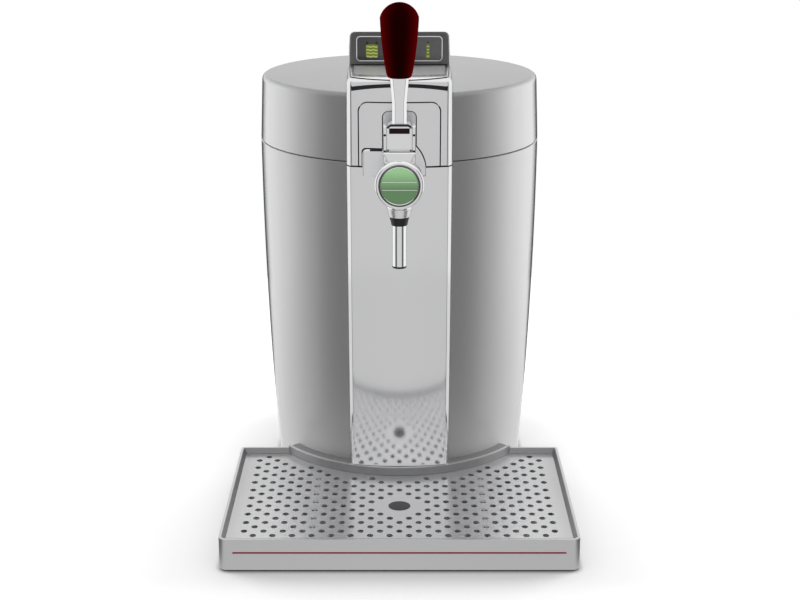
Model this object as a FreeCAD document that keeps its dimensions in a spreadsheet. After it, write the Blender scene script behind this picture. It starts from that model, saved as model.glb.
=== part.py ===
import FreeCAD, Part
import math
import os

import Sketcher
from FreeCAD import Placement, Rotation, Vector

# Countertop dispenser for a 5 litre mini keg. Millimetres, +Z up, the drip tray faces -Y.
# Every piece is drawn about the vertical axis of the drum, with the counter at z = 0, and is
# then shifted along Y by DRUM_SHIFT, which puts the middle of the footprint at the origin.

SIZES = {
    # clearances
    "fit_gap": 0.3,
    "slide_gap": 0.6,
    "running_gap": 0.05,
    # drum
    "foot_gap": 3.0,
    "drum_base_radius": 130.7,
    "drum_seam_radius": 142.5,
    "drum_sweep": 4800.0,
    "drum_wall": 2.5,
    "seam_height": 346.5,
    "seam_gap": 1.0,
    # base pan and feet
    "pan_wall": 2.5,
    "pan_rim": 12.0,
    "foot_radius": 11.0,
    "foot_inset": 26.7,
    "foot_seat": 1.2,
    "intake_ring": 70.0,
    "intake_length": 26.0,
    "intake_width": 4.0,
    # dock ledge that the drip tray pushes up to
    "dock_lead": 11.3,
    "dock_height": 35.5,
    "dock_sweep_angle": 104.0,
    # rear panel
    "panel_half_width": 49.0,
    "panel_setback": 12.4,
    "window_half_width": 46.0,
    "window_bottom": 10.0,
    "window_drop": 3.5,
    "vent_slots": 10,
    "vent_pitch": 5.0,
    "vent_width": 3.0,
    "vent_start": -40.0,
    "vent_bottom": 14.0,
    "vent_top": 54.0,
    "switch_centre": 28.0,
    "inlet_height": 24.0,
    "inlet_width": 24.0,
    "inlet_tall": 16.0,
    "inlet_depth": 18.0,
    "socket_rim": 6.0,
    "pole_place": 4.3,
    "pole_radius": 1.2,
    "flange_lip": 3.0,
    "switch_height": 46.0,
    "switch_width": 21.0,
    "switch_tall": 15.0,
    "rocker_width": 15.0,
    "rocker_tall": 11.0,
    "rocker_pin_length": 1.5,
    "bezel_thickness": 1.5,
    # cold chamber
    "chamber_radius": 90.0,
    "bay_height": 55.0,
    "liner_wall": 1.5,
    "deck_wall": 3.0,
    "deck_collar": 9.5,
    "foam_floor": 16.0,
    "foam_bore": 46.0,
    "foam_setback": 11.5,
    # cooling
    "cold_plate_side": 60.0,
    "cold_plate_thickness": 12.0,
    "peltier_side": 40.0,
    "peltier_thickness": 4.0,
    "sink_width": 90.0,
    "sink_length": 100.0,
    "sink_base": 5.0,
    "sink_height": 40.0,
    "sink_back": 60.0,
    "fin_thickness": 2.0,
    "fin_count": 12,
    "contact_gap": 0.2,
    "fan_side": 50.0,
    "fan_depth": 15.0,
    "fan_bore": 23.5,
    "fan_hub": 10.5,
    "fan_blades": 7,
    "fan_tip_gap": 1.0,
    "fan_shaft": 1.5,
    "spider_width": 3.0,
    # electronics in the base
    "supply_width": 44.0,
    "supply_length": 80.0,
    "supply_height": 32.0,
    "supply_inset": 26.7,
    "board_width": 44.0,
    "board_length": 60.0,
    "board_thickness": 1.6,
    "board_inset": 26.7,
    "board_post": 6.0,
    "board_post_radius": 3.5,
    "chip_side": 16.0,
    "can_radius": 5.0,
    "feet_count": 4,
    "intake_count": 12,
    # lid
    "lid_height": 64.5,
    "lid_shoulder_radius": 140.0,
    "lid_round": 5.0,
    "notch_gap": 0.5,
    "notch_rise": 55.0,
    "lid_well_radius": 98.0,
    "lid_foam_room": 15.0,
    "lid_foam_radius": 118.0,
    "gasket_radius": 100.0,
    "gasket_width": 6.0,
    "hose_notch_half": 12.0,
    "hose_notch_rise": 31.0,
    # rear hinge
    "hinge_offset": 6.5,
    "knuckle_radius": 5.5,
    "hinge_pin_radius": 2.0,
    "hinge_half_width": 32.0,
    "leaf_half_width": 13.0,
    "hinge_leaf": 24.0,
    # front column
    "column_width": 98.0,
    "column_lead": 17.5,
    "column_bow": 200.0,
    "column_sweep": 2670.0,
    "column_wall": 2.5,
    "column_round": 4.5,
    "column_depth": 110.0,
    # hood on the lid
    "hood_height": 83.0,
    "hood_back": 80.0,
    "hood_round": 4.0,
    "frame_edge": 3.0,
    "nose_height": 5.5,
    "recess_depth": 10.0,
    "panel_thickness": 3.0,
    "panel_inset": 0.8,
    "crown_gap": 2.5,
    "panel_crown_radius": 300.0,
    "door_half_width": 38.5,
    "door_rise": 61.0,
    "door_corner": 9.0,
    "slot_half_width": 16.8,
    "slot_drop": 8.5,
    "slot_corner": 6.0,
    "block_left": 35.3,
    "block_rise": 17.5,
    "block_right": 25.3,
    "shoulder_rise": 20.0,
    "shoulder_sweep": 34.0,
    "shelf_setback": 1.0,
    "shelf_bow": 118.0,
    "shelf_inset": 2.6,
    "shelf_thickness": 2.7,
    "shelf_proud": 0.3,
    "shelf_round": 2.0,
    # display pod
    "pod_rise": 32.0,
    "pod_roof_sweep": 1000.0,
    "pod_tail": 42.0,
    "pod_wall": 2.5,
    "pod_round": 5.0,
    "bezel_inset": 2.2,
    "bezel_lift": 1.2,
    "display_inset": 7.3,
    "display_lift": 4.0,
    "display_drop": 4.5,
    "display_corner": 4.0,
    "trim_width": 1.0,
    "glass_thickness": 1.2,
    "lcd_thickness": 3.0,
    # tap
    "tap_sink": 8.5,
    "tap_setback": 2.5,
    "tap_depth": 10.5,
    "badge_drop": 2.5,
    "puck_radius": 22.25,
    "puck_overhang": 14.0,
    "puck_thickness": 18.0,
    "arm_half_width": 14.5,
    "arm_sink": 13.0,
    "arm_rise": 18.0,
    "ear_thickness": 3.0,
    "ear_rise": 25.0,
    "ear_depth": 18.0,
    "lip_depth": 7.5,
    "lip_edge": 1.3,
    "lip_rise": 1.5,
    "lip_slope": 4.2,
    "spout_overhang": 52.0,
    "spout_bore": 5.0,
    "tube_radius": 6.55,
    "tube_length": 48.0,
    "collar_length": 8.0,
    "cone_length": 8.2,
    "collar_bottom_radius": 7.4,
    "collar_top_radius": 9.0,
    "cone_bottom_radius": 9.8,
    "cone_top_radius": 11.6,
    "cone_drop": 23.0,
    "hose_rise": 3.0,
    "hose_bore": 4.5,
    "badge_radius": 17.3,
    "badge_ring_radius": 18.9,
    "badge_seat": 0.8,
    "badge_thickness": 2.0,
    "badge_ring_thickness": 2.8,
    # lever
    "pivot_setback": 12.0,
    "pivot_rise": 26.0,
    "pivot_radius": 1.5,
    "ear_pin_rise": 15.0,
    "ear_pin_radius": 1.3,
    "yoke_width": 22.3,
    "yoke_half_depth": 7.5,
    "yoke_rise": 25.0,
    "flap_half_width": 9.35,
    "flap_rise": 16.0,
    "band_height": 5.5,
    "flap_relief": 1.2,
    "neck_width": 13.1,
    "neck_depth": 9.0,
    "waist_rise": 20.0,
    "neck_flare": 16.8,
    "neck_flare_depth": 12.0,
    "neck_length": 41.4,
    "stud_radius": 3.0,
    "stud_length": 24.0,
    "stud_sink": 10.0,
    "knob_foot_radius": 10.2,
    "knob_low_radius": 11.6,
    "knob_foot": 3.3,
    "knob_wide_radius": 17.3,
    "knob_swell": 49.5,
    "knob_side_sweep": 330.0,
    "knob_dome": 13.2,
    # pinch valve
    "plunger_radius": 3.0,
    "plunger_length": 17.0,
    "cam_reach": 4.2,
    "cam_gap": 0.4,
    # drip tray
    "tray_half_width": 165.0,
    "tray_reach": 298.0,
    "tray_back": 85.0,
    "tray_lift": 1.5,
    "tray_step": 3.0,
    "tray_wall": 5.0,
    "tray_floor": 2.5,
    "tray_ring_wall": 2.5,
    "tray_front_round": 7.0,
    "tray_rear_round": 3.0,
    "tray_foot_radius": 8.0,
    "tray_foot_inset": 18.0,
    "rib_thickness": 2.0,
    "rib_place": 81.0,
    "rib_inset": 24.0,
    "grille_sink": 5.5,
    "grille_thickness": 1.5,
    "grille_fit": 0.4,
    "hole_pitch": 9.0,
    "hole_across": 6.5,
    "hole_margin": 6.0,
    "hole_rows": 21,
    "row_inset": 19.3,
    "drain_lead": 3.7,
    "drain_radius": 10.5,
    "drain_thickness": 1.2,
    "drain_seat": 0.8,
}

doc = FreeCAD.newDocument("MiniKegDispenser")
sheet = doc.addObject("Spreadsheet::Sheet", "Sizes")
nodes = []


class Size:
    """A length that is both a number and the formula that gives it from the sheet."""

    def __init__(self, formula, number):
        self.formula = formula
        self.number = number

    def __add__(self, other):
        other = as_size(other)
        return Size(f"({self.formula} + {other.formula})", self.number + other.number)

    def __sub__(self, other):
        other = as_size(other)
        return Size(f"({self.formula} - {other.formula})", self.number - other.number)

    def __mul__(self, other):
        other = as_size(other)
        return Size(f"({self.formula} * {other.formula})", self.number * other.number)

    def __truediv__(self, other):
        other = as_size(other)
        return Size(f"({self.formula} / {other.formula})", self.number / other.number)

    def __neg__(self):
        return Size(f"(0 - {self.formula})", -self.number)


class Sheet:
    """The sheet's cells, read by name."""


def as_size(value):
    return value if isinstance(value, Size) else Size(str(value), float(value))


def root(size):
    return Size(f"sqrt({size.formula})", math.sqrt(size.number))


def other_leg(long_side, leg):
    """The third side of a right triangle."""
    return root(long_side * long_side - leg * leg)


def sag(radius, half_chord):
    """How far an arc stands proud of its chord."""
    return radius - other_leg(radius, half_chord)


def fill_sheet():
    cells = Sheet()
    for row, (alias, number) in enumerate(SIZES.items(), start=1):
        sheet.set(f"A{row}", alias)
        sheet.set(f"B{row}", str(number))
        sheet.setAlias(f"B{row}", alias)
        setattr(cells, alias, Size(f"Sizes.{alias}", float(number)))
    doc.recompute()
    return cells


s = fill_sheet()
ZERO = as_size(0)

# Heights, reaches and radii that several pieces share, each from the sizes above.
DRUM_TOP = s.seam_height - s.seam_gap / 2
LID_BOTTOM = s.seam_height + s.seam_gap / 2
HALF_COLUMN = s.column_width / 2
HINGE_REACH = s.drum_seam_radius + s.hinge_offset
DRUM_SHIFT = (s.tray_reach - HINGE_REACH - s.knuckle_radius) / 2
COLUMN_REACH = s.drum_seam_radius + s.column_lead
DOCK_RADIUS = s.drum_base_radius + s.dock_lead

# base, chamber and cooling
PAN_TOP = s.foot_gap + s.pan_wall
FOAM_BOTTOM = PAN_TOP + s.bay_height
FOAM_RADIUS = s.drum_seam_radius - s.foam_setback
FOAM_LEVEL = (FOAM_BOTTOM - s.foot_gap) / (DRUM_TOP - s.foot_gap)
FOAM_TAPER = (s.drum_seam_radius - s.drum_base_radius) * FOAM_LEVEL
FOAM_FOOT_RADIUS = s.drum_base_radius + FOAM_TAPER - s.drum_wall - s.fit_gap
LINER_UNDERSIDE = FOAM_BOTTOM + s.foam_floor
CHAMBER_FLOOR = LINER_UNDERSIDE + s.liner_wall
LINER_OUTER = s.chamber_radius + s.liner_wall
COLD_PLATE_TOP = LINER_UNDERSIDE - s.contact_gap
PELTIER_TOP = COLD_PLATE_TOP - s.cold_plate_thickness - s.contact_gap
SINK_TOP = PELTIER_TOP - s.peltier_thickness - s.contact_gap
DECK_TOP = DRUM_TOP - s.seam_gap / 2
LINER_TOP = DECK_TOP - s.deck_collar - s.fit_gap
FAN_HEIGHT = PAN_TOP + s.fit_gap + s.fan_side / 2
FAN_FRONT = s.sink_back + s.fit_gap
FAN_BACK = FAN_FRONT + s.fan_depth
FAN_SHAFT_LENGTH = s.fan_depth - s.spider_width * 2
SUPPLY_EDGE = s.drum_base_radius - s.supply_inset
BOARD_EDGE = s.drum_base_radius - s.board_inset
BOARD_LEFT = BOARD_EDGE - s.board_width

# rear panel
PANEL_REACH = s.drum_base_radius - s.panel_setback
PANEL_BACK = PANEL_REACH - s.pan_wall
WINDOW_TOP = FOAM_BOTTOM - s.window_drop
SWITCH_FACE = PANEL_REACH + s.bezel_thickness
ROCKER_PIVOT = PANEL_REACH - s.pan_wall
ROCKER_PIN = s.fan_shaft - s.contact_gap * 2

# lid, hood and door
LID_TOP = LID_BOTTOM + s.lid_height
LID_CLEAR_TOP = LID_TOP + s.fit_gap
WELL_CEILING = LID_TOP - s.lid_foam_room
LID_NOTCH_TOP = LID_BOTTOM + s.notch_rise
LID_NOTCH_HALF = s.door_half_width + s.notch_gap
HOSE_NOTCH_TOP = LID_BOTTOM + s.hose_notch_rise
HINGE_HEIGHT = LID_BOTTOM
HINGE_POINT = (HINGE_REACH, HINGE_HEIGHT)
HOOD_TOP = LID_BOTTOM + s.hood_height
RECESS_TOP = HOOD_TOP - s.nose_height
RECESS_BACK = COLUMN_REACH - s.recess_depth
PANEL_CROWN = RECESS_TOP - s.crown_gap
DOOR_TOP = LID_BOTTOM + s.door_rise
SLOT_TOP = DOOR_TOP - s.slot_drop
BLOCK_TOP = LID_BOTTOM + s.block_rise
SHOULDER_HEIGHT = LID_BOTTOM + s.shoulder_rise
SHELF_FRONT = COLUMN_REACH - s.shelf_setback
SHELF_HALF = HALF_COLUMN - s.shelf_inset

# display
POD_FACE = s.hood_back - s.fit_gap
POD_TOP = HOOD_TOP + s.pod_rise
BEZEL_FACE = POD_FACE + s.bezel_thickness
BEZEL_BOTTOM = HOOD_TOP + s.bezel_lift
BEZEL_HALF = HALF_COLUMN - s.bezel_inset
DISPLAY_BOTTOM = HOOD_TOP + s.display_lift
DISPLAY_TOP = POD_TOP - s.display_drop
DISPLAY_HALF = HALF_COLUMN - s.display_inset

# tap and lever
TAP_FOOT = s.seam_height - s.tap_sink
TAP_FACE = COLUMN_REACH - s.tap_setback
TAP_ROOT = TAP_FACE - s.tap_depth
BADGE_HEIGHT = s.seam_height - s.badge_drop
SPOUT_REACH = COLUMN_REACH + s.spout_overhang
PUCK_FACE = SPOUT_REACH + s.puck_overhang
BADGE_SEAT = s.badge_seat - s.contact_gap - PUCK_FACE
ARM_BOTTOM = BADGE_HEIGHT - s.arm_sink
ARM_TOP = BADGE_HEIGHT + s.arm_rise
CONE_TOP = BADGE_HEIGHT - s.cone_drop
COLLAR_TOP = CONE_TOP - s.cone_length
COLLAR_BOTTOM = COLLAR_TOP - s.collar_length
TUBE_TIP = COLLAR_TOP - s.tube_length
HOSE_HEIGHT = BADGE_HEIGHT + s.hose_rise
PIVOT_REACH = SPOUT_REACH - s.pivot_setback
PIVOT_HEIGHT = BADGE_HEIGHT + s.pivot_rise
PIVOT_POINT = (-PIVOT_REACH, PIVOT_HEIGHT)
EAR_TOP = PIVOT_HEIGHT + s.ear_rise
YOKE_FLOOR = PIVOT_HEIGHT - s.yoke_half_depth - s.fit_gap * 2
YOKE_TOP = PIVOT_HEIGHT + s.yoke_rise
FLAP_TOP = PIVOT_HEIGHT + s.flap_rise
BAND_TOP = FLAP_TOP + s.band_height
NECK_WAIST = YOKE_TOP + s.waist_rise
NECK_TOP = YOKE_TOP + s.neck_length
KNOB_BASE = NECK_TOP + s.fit_gap
KNOB_LOW = KNOB_BASE + s.knob_foot
KNOB_WIDE = KNOB_LOW + s.knob_swell
KNOB_TOP = KNOB_WIDE + s.knob_dome

# drip tray
RING_RADIUS = DOCK_RADIUS + s.slide_gap
RING_FRONT = RING_RADIUS + s.tray_ring_wall
TRAY_TOP = s.dock_height - s.tray_step
GRILLE_TOP = TRAY_TOP - s.grille_sink
GRILLE_UNDERSIDE = GRILLE_TOP - s.grille_thickness
FIRST_ROW = s.tray_reach - s.row_inset
DRAIN_REACH = SPOUT_REACH + s.drain_lead


# ---------------------------------------------------------------- drawing helpers


def bind(target, path, size):
    target.setExpression(path, as_size(size).formula)


def new_body(label, at=(ZERO, ZERO, ZERO)):
    """An empty body whose own origin lies at a point given from the drum's axis."""
    body = doc.addObject("PartDesign::Body", label)
    body.Label = label
    bind(body, ".Placement.Base.x", at[0])
    bind(body, ".Placement.Base.y", at[1] + DRUM_SHIFT)
    bind(body, ".Placement.Base.z", at[2])
    nodes.append(body)
    return body


def new_sketch(body, plane, level=ZERO):
    """A sketch on an origin plane, moved to a level along that plane's row axis."""
    sketch = body.newObject("Sketcher::SketchObject", f"{body.Name}_outline")
    support = next(item for item in body.Origin.OriginFeatures if item.Role == f"{plane}_Plane")
    sketch.AttachmentSupport = [(support, "")]
    sketch.MapMode = "FlatFace"
    along_normal = -level if plane == "XZ" else level
    sketch.AttachmentOffset = Placement(Vector(0, 0, along_normal.number), Rotation())
    bind(sketch, ".AttachmentOffset.Base.z", along_normal)
    return sketch


def place_point(sketch, index, end, point):
    for kind, size in (("DistanceX", as_size(point[0])), ("DistanceY", as_size(point[1]))):
        number = sketch.addConstraint(Sketcher.Constraint(kind, index, end, size.number))
        bind(sketch, f"Constraints[{number}]", size)


def place_radius(sketch, index, radius):
    radius = as_size(radius)
    number = sketch.addConstraint(Sketcher.Constraint("Radius", index, radius.number))
    bind(sketch, f"Constraints[{number}]", radius)


def flat(point):
    return Vector(as_size(point[0]).number, as_size(point[1]).number, 0)


def arc_through(start, end, radius, side):
    """The shorter arc from start to end; side is +1 where it bulges to the left."""
    chord = end - start
    left = Vector(-chord.y, chord.x, 0).normalize()
    rise = radius - math.sqrt(radius**2 - (chord.Length / 2) ** 2)
    return Part.Arc(start, (start + end) / 2 + left * rise * side, end)


def outline(sketch, points, arcs=None):
    """A closed outline; arcs maps a side's number to its radius and the side it bulges to."""
    arcs = arcs or {}
    ends = []
    for number, point in enumerate(points):
        start = flat(point)
        end = flat(points[(number + 1) % len(points)])
        if number in arcs:
            radius, side = arcs[number]
            index = sketch.addGeometry(arc_through(start, end, as_size(radius).number, side), False)
        else:
            index = sketch.addGeometry(Part.LineSegment(start, end), False)
        forward = sketch.getPoint(index, 1).distanceToPoint(start) < 1e-4
        ends.append((index, 1, 2) if forward else (index, 2, 1))
    for number, (index, first, last) in enumerate(ends):
        following = ends[(number + 1) % len(ends)]
        sketch.addConstraint(Sketcher.Constraint("Coincident", index, last, following[0], following[1]))
        place_point(sketch, index, first, points[number])
        if number in arcs:
            place_radius(sketch, index, arcs[number][0])


def rectangle(sketch, low, high):
    outline(sketch, [low, (high[0], low[1]), high, (low[0], high[1])])


def rounded_rectangle(sketch, low, high, radius):
    (x0, y0), (x1, y1) = low, high
    points = [
        (x0 + radius, y0), (x1 - radius, y0), (x1, y0 + radius), (x1, y1 - radius),
        (x1 - radius, y1), (x0 + radius, y1), (x0, y1 - radius), (x0, y0 + radius),
    ]
    outline(sketch, points, {side: (radius, -1) for side in (1, 3, 5, 7)})


def circle(sketch, centre, radius):
    index = sketch.addGeometry(Part.Circle(flat(centre), Vector(0, 0, 1), as_size(radius).number), False)
    place_point(sketch, index, 3, centre)
    place_radius(sketch, index, radius)


def finish(body, feature):
    doc.recompute()
    if "Invalid" in feature.State or feature.Shape.isNull() or not feature.Shape.isValid():
        raise RuntimeError(f"{body.Label}: {feature.Name} failed")
    return feature


def finish_cut(body, feature, before):
    finish(body, feature)
    if feature.Shape.Volume > before - 1e-3:
        raise RuntimeError(f"{body.Label}: {feature.Name} removes nothing")
    return feature


def extrude(body, kind, sketch, length, toward):
    """An extrusion towards + or - along the row axis of its plane, or both ways where toward is 0."""
    feature = body.newObject(f"PartDesign::{kind}", kind)
    feature.Profile = sketch
    feature.SideType = "One side" if toward else "Symmetric"
    normal = -1 if "XZ_Plane" in sketch.AttachmentSupport[0][0].Role else 1
    default = normal if kind == "Pad" else -normal
    feature.Reversed = toward * default < 0
    bind(feature, "Length", length)
    return feature


def pad(body, sketch, length, toward=1):
    return finish(body, extrude(body, "Pad", sketch, length, toward))


def pocket(body, sketch, length, toward=1):
    before = body.Tip.Shape.Volume
    return finish_cut(body, extrude(body, "Pocket", sketch, length, toward), before)


def turn(body, kind, sketch, angle, midplane):
    feature = body.newObject(f"PartDesign::{kind}", kind)
    feature.Profile = sketch
    feature.ReferenceAxis = (sketch, ["V_Axis"])
    feature.Midplane = midplane
    bind(feature, "Angle", angle)
    return feature


def revolve(body, sketch, angle=360, midplane=False):
    return finish(body, turn(body, "Revolution", sketch, angle, midplane))


def groove(body, sketch):
    before = body.Tip.Shape.Volume
    return finish_cut(body, turn(body, "Groove", sketch, 360, False), before)


def round_edges(body, radius, wanted):
    base = body.Tip
    names = [f"Edge{number}" for number, edge in enumerate(base.Shape.Edges, 1) if wanted(edge)]
    if not names:
        raise RuntimeError(f"{body.Label}: no edge to round")
    feature = body.newObject("PartDesign::Fillet", "Fillet")
    feature.Base = (base, names)
    bind(feature, "Radius", radius)
    return finish(body, feature)


def around(body, feature, count, axis="Z"):
    """A ring of equal copies about one of the body's own axes."""
    pattern = body.newObject("PartDesign::PolarPattern", "PolarPattern")
    pattern.Originals = [feature]
    origin_axis = next(item for item in body.Origin.OriginFeatures if item.Role == f"{axis}_Axis")
    pattern.Axis = (origin_axis, [""])
    pattern.Angle = 360
    bind(pattern, "Occurrences", count)
    body.Tip = pattern
    return finish(body, pattern)


def along_x(body, feature, count, length):
    """A row of equal copies along X; length runs from the first copy to the last."""
    pattern = body.newObject("PartDesign::LinearPattern", "LinearPattern")
    pattern.Originals = [feature]
    axis = next(item for item in body.Origin.OriginFeatures if item.Role == "X_Axis")
    pattern.Direction = (axis, [""])
    bind(pattern, "Length", length)
    bind(pattern, "Occurrences", count)
    body.Tip = pattern
    return finish(body, pattern)


def is_line_along(edge, axis):
    if not isinstance(edge.Curve, Part.Line):
        return False
    return abs(edge.Curve.Direction.dot(axis)) > 0.999


def middle(edge):
    return edge.CenterOfMass


UP = Vector(0, 0, 1)
ACROSS = Vector(1, 0, 0)
DEEP = Vector(0, 1, 0)


def near(value, size, slack=0.6):
    return abs(value - as_size(size).number) < slack


# ---------------------------------------------------------------- shared envelopes


def drum_envelope(body, clearance):
    """Clears a piece of the room that the drum takes up."""
    sketch = new_sketch(body, "XZ")
    base = s.drum_base_radius + clearance
    seam = s.drum_seam_radius + clearance
    below = s.foot_gap - s.pan_rim
    points = [(ZERO, below), (base, below), (base, s.foot_gap), (seam, LID_BOTTOM), (ZERO, LID_BOTTOM)]
    outline(sketch, points, {2: (s.drum_sweep, -1)})
    groove(body, sketch)


def lid_envelope(body, clearance):
    """Clears a piece of the room that the lid takes up."""
    sketch = new_sketch(body, "XZ")
    low = LID_BOTTOM - s.pan_rim
    seam = s.drum_seam_radius + clearance
    shoulder = s.lid_shoulder_radius + clearance
    top = LID_TOP + clearance
    outline(sketch, [(ZERO, low), (seam, low), (seam, LID_BOTTOM), (shoulder, top), (ZERO, top)])
    groove(body, sketch)


def bowed_outline(sketch, half_width, reach, depth, corner):
    """A plan with a gently bowed front and rounded front corners, centred on X."""
    bow_centre = s.column_bow - reach
    share = s.column_bow / (s.column_bow - corner)
    across = half_width - corner
    down = other_leg(s.column_bow - corner, across)
    side = bow_centre - down
    touch = (across * share, bow_centre - down * share)
    points = [
        (-half_width, -depth), (-half_width, side), (-touch[0], touch[1]), touch,
        (half_width, side), (half_width, -depth),
    ]
    outline(sketch, points, {1: (corner, -1), 2: (s.column_bow, -1), 3: (corner, -1)})


# ---------------------------------------------------------------- machine: base and drum


def make_base_pan():
    body = new_body("base_pan")
    rim = s.drum_base_radius - s.drum_wall - s.fit_gap
    rim_top = s.foot_gap + s.pan_rim
    profile = new_sketch(body, "XZ")
    outline(profile, [
        (ZERO, s.foot_gap), (rim, s.foot_gap), (rim, rim_top),
        (rim - s.pan_wall, rim_top), (rim - s.pan_wall, PAN_TOP), (ZERO, PAN_TOP),
    ])
    revolve(body, profile)
    seat = new_sketch(body, "XY", s.foot_gap)
    circle(seat, foot_place(), s.foot_radius + s.fit_gap)
    around(body, pocket(body, seat, s.foot_seat), s.feet_count)
    slot = new_sketch(body, "XY", s.foot_gap)
    half = s.intake_width / 2
    rectangle(slot, (s.intake_ring - s.intake_length / 2, -half), (s.intake_ring + s.intake_length / 2, half))
    around(body, pocket(body, slot, s.pan_wall), s.intake_count)
    posts = new_sketch(body, "XY", PAN_TOP)
    for x in (BOARD_LEFT + s.board_post, BOARD_EDGE - s.board_post):
        for y in (s.board_post - s.board_length / 2, s.board_length / 2 - s.board_post):
            circle(posts, (x, y), s.board_post_radius)
    pad(body, posts, s.board_post)
    notch = new_sketch(body, "XY", rim_top)
    half = s.panel_half_width + s.fit_gap
    rectangle(notch, (-half, PANEL_BACK - s.fit_gap), (half, s.drum_base_radius))
    pocket(body, notch, s.pan_rim - s.pan_wall, toward=-1)


def foot_place():
    diagonal = (s.drum_base_radius - s.foot_inset) / root(as_size(2))
    return (diagonal, diagonal)


def make_base_feet():
    body = new_body("base_feet")
    body.AllowCompound = True
    sketch = new_sketch(body, "XY")
    circle(sketch, foot_place(), s.foot_radius)
    around(body, pad(body, sketch, s.foot_gap + s.foot_seat - s.contact_gap), s.feet_count)


def make_dock_ledge():
    """Ledge round the front of the drum that the drip tray pushes up to."""
    body = new_body("dock_ledge")
    sketch = new_sketch(body, "YZ")
    inner = s.drum_base_radius - s.drum_wall
    rectangle(sketch, (-DOCK_RADIUS, s.foot_gap), (-inner, s.dock_height))
    revolve(body, sketch, s.dock_sweep_angle, midplane=True)
    drum_envelope(body, s.fit_gap)
    crown = s.dock_height.number
    round_edges(body, s.bezel_thickness, lambda edge: (
        near(edge.BoundBox.ZMin, crown, 0.01) and near(edge.BoundBox.ZMax, crown, 0.01)
        and isinstance(edge.Curve, Part.Circle) and near(edge.Curve.Radius, DOCK_RADIUS)
    ))


def make_drum_shell():
    body = new_body("drum_shell")
    sketch = new_sketch(body, "XZ")
    outline(sketch, [
        (s.drum_base_radius - s.drum_wall, s.foot_gap), (s.drum_base_radius, s.foot_gap),
        (s.drum_seam_radius, DRUM_TOP), (s.drum_seam_radius - s.drum_wall, DRUM_TOP),
    ], {1: (s.drum_sweep, -1), 3: (s.drum_sweep - s.drum_wall, 1)})
    revolve(body, sketch)
    window = new_sketch(body, "XZ")
    rounded_rectangle(
        window, (-s.window_half_width, s.window_bottom), (s.window_half_width, WINDOW_TOP), s.column_round
    )
    pocket(body, window, s.drum_seam_radius * 2)


def make_rear_panel():
    """Flat panel set into the back of the drum, with the vent, the inlet and the switch."""
    body = new_body("rear_panel")
    plate = new_sketch(body, "XZ", PANEL_BACK)
    rectangle(plate, (-s.panel_half_width, PAN_TOP + s.fit_gap), (s.panel_half_width, FOAM_BOTTOM - s.fit_gap))
    pad(body, plate, s.pan_wall)
    for height, width, tall in (
        (s.inlet_height, s.inlet_width, s.inlet_tall), (s.switch_height, s.switch_width, s.switch_tall),
    ):
        hole = new_sketch(body, "XZ", PANEL_BACK)
        centred_rectangle(hole, (s.switch_centre, height), width, tall)
        pocket(body, hole, s.pan_wall)
    slot = new_sketch(body, "XZ", PANEL_BACK)
    rectangle(slot, (s.vent_start, s.vent_bottom), (s.vent_start + s.vent_width, s.vent_top))
    slots = pocket(body, slot, s.pan_wall)
    along_x(body, slots, s.vent_slots, (s.vent_slots - 1) * s.vent_pitch)


def centred_rectangle(sketch, centre, width, tall):
    rectangle(
        sketch, (centre[0] - width / 2, centre[1] - tall / 2), (centre[0] + width / 2, centre[1] + tall / 2)
    )


def make_power_inlet():
    """Two-pole appliance inlet with its socket open to the back."""
    body = new_body("power_inlet")
    centre = (s.switch_centre, s.inlet_height)
    barrel = new_sketch(body, "XZ", PANEL_BACK)
    centred_rectangle(barrel, centre, s.inlet_width - s.fit_gap * 2, s.inlet_tall - s.fit_gap * 2)
    pad(body, barrel, s.inlet_depth, toward=-1)
    neck = new_sketch(body, "XZ", PANEL_BACK)
    centred_rectangle(neck, centre, s.inlet_width - s.fit_gap * 2, s.inlet_tall - s.fit_gap * 2)
    pad(body, neck, s.pan_wall + s.bezel_thickness)
    flange = new_sketch(body, "XZ", PANEL_REACH + s.contact_gap)
    centred_rectangle(flange, centre, s.inlet_width + s.flange_lip, s.inlet_tall + s.flange_lip)
    pad(body, flange, s.bezel_thickness)
    socket = new_sketch(body, "XZ", SWITCH_FACE + s.bezel_thickness)
    centred_rectangle(socket, centre, s.inlet_width - s.socket_rim, s.inlet_tall - s.socket_rim)
    pocket(body, socket, s.inlet_depth, toward=-1)
    poles = new_sketch(body, "XZ", PANEL_BACK - s.inlet_depth)
    for place in (s.switch_centre - s.pole_place, s.switch_centre + s.pole_place):
        circle(poles, (place, s.inlet_height), s.pole_radius)
    pad(body, poles, s.inlet_depth + s.pan_wall)


def make_rocker_frame():
    body = new_body("rocker_frame")
    centre = (s.switch_centre, s.switch_height)
    barrel = new_sketch(body, "XZ", PANEL_BACK - s.inlet_depth)
    centred_rectangle(barrel, centre, s.switch_width - s.fit_gap * 2, s.switch_tall - s.fit_gap * 2)
    pad(body, barrel, s.inlet_depth + s.pan_wall + s.bezel_thickness)
    flange = new_sketch(body, "XZ", PANEL_REACH + s.contact_gap)
    centred_rectangle(flange, centre, s.switch_width + s.flange_lip, s.switch_tall + s.flange_lip)
    pad(body, flange, s.bezel_thickness)
    well = new_sketch(body, "XZ", SWITCH_FACE + s.contact_gap)
    centred_rectangle(well, centre, s.rocker_width + s.slide_gap, s.rocker_tall + s.slide_gap * 2)
    pocket(body, well, s.rocker_tall, toward=-1)
    pins = new_sketch(body, "YZ", s.switch_centre)
    circle(pins, (ROCKER_PIVOT, s.switch_height), ROCKER_PIN + s.running_gap)
    pocket(body, pins, s.rocker_width + (s.rocker_pin_length + s.fit_gap) * 2, toward=0)


# ---------------------------------------------------------------- machine: cold chamber


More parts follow.
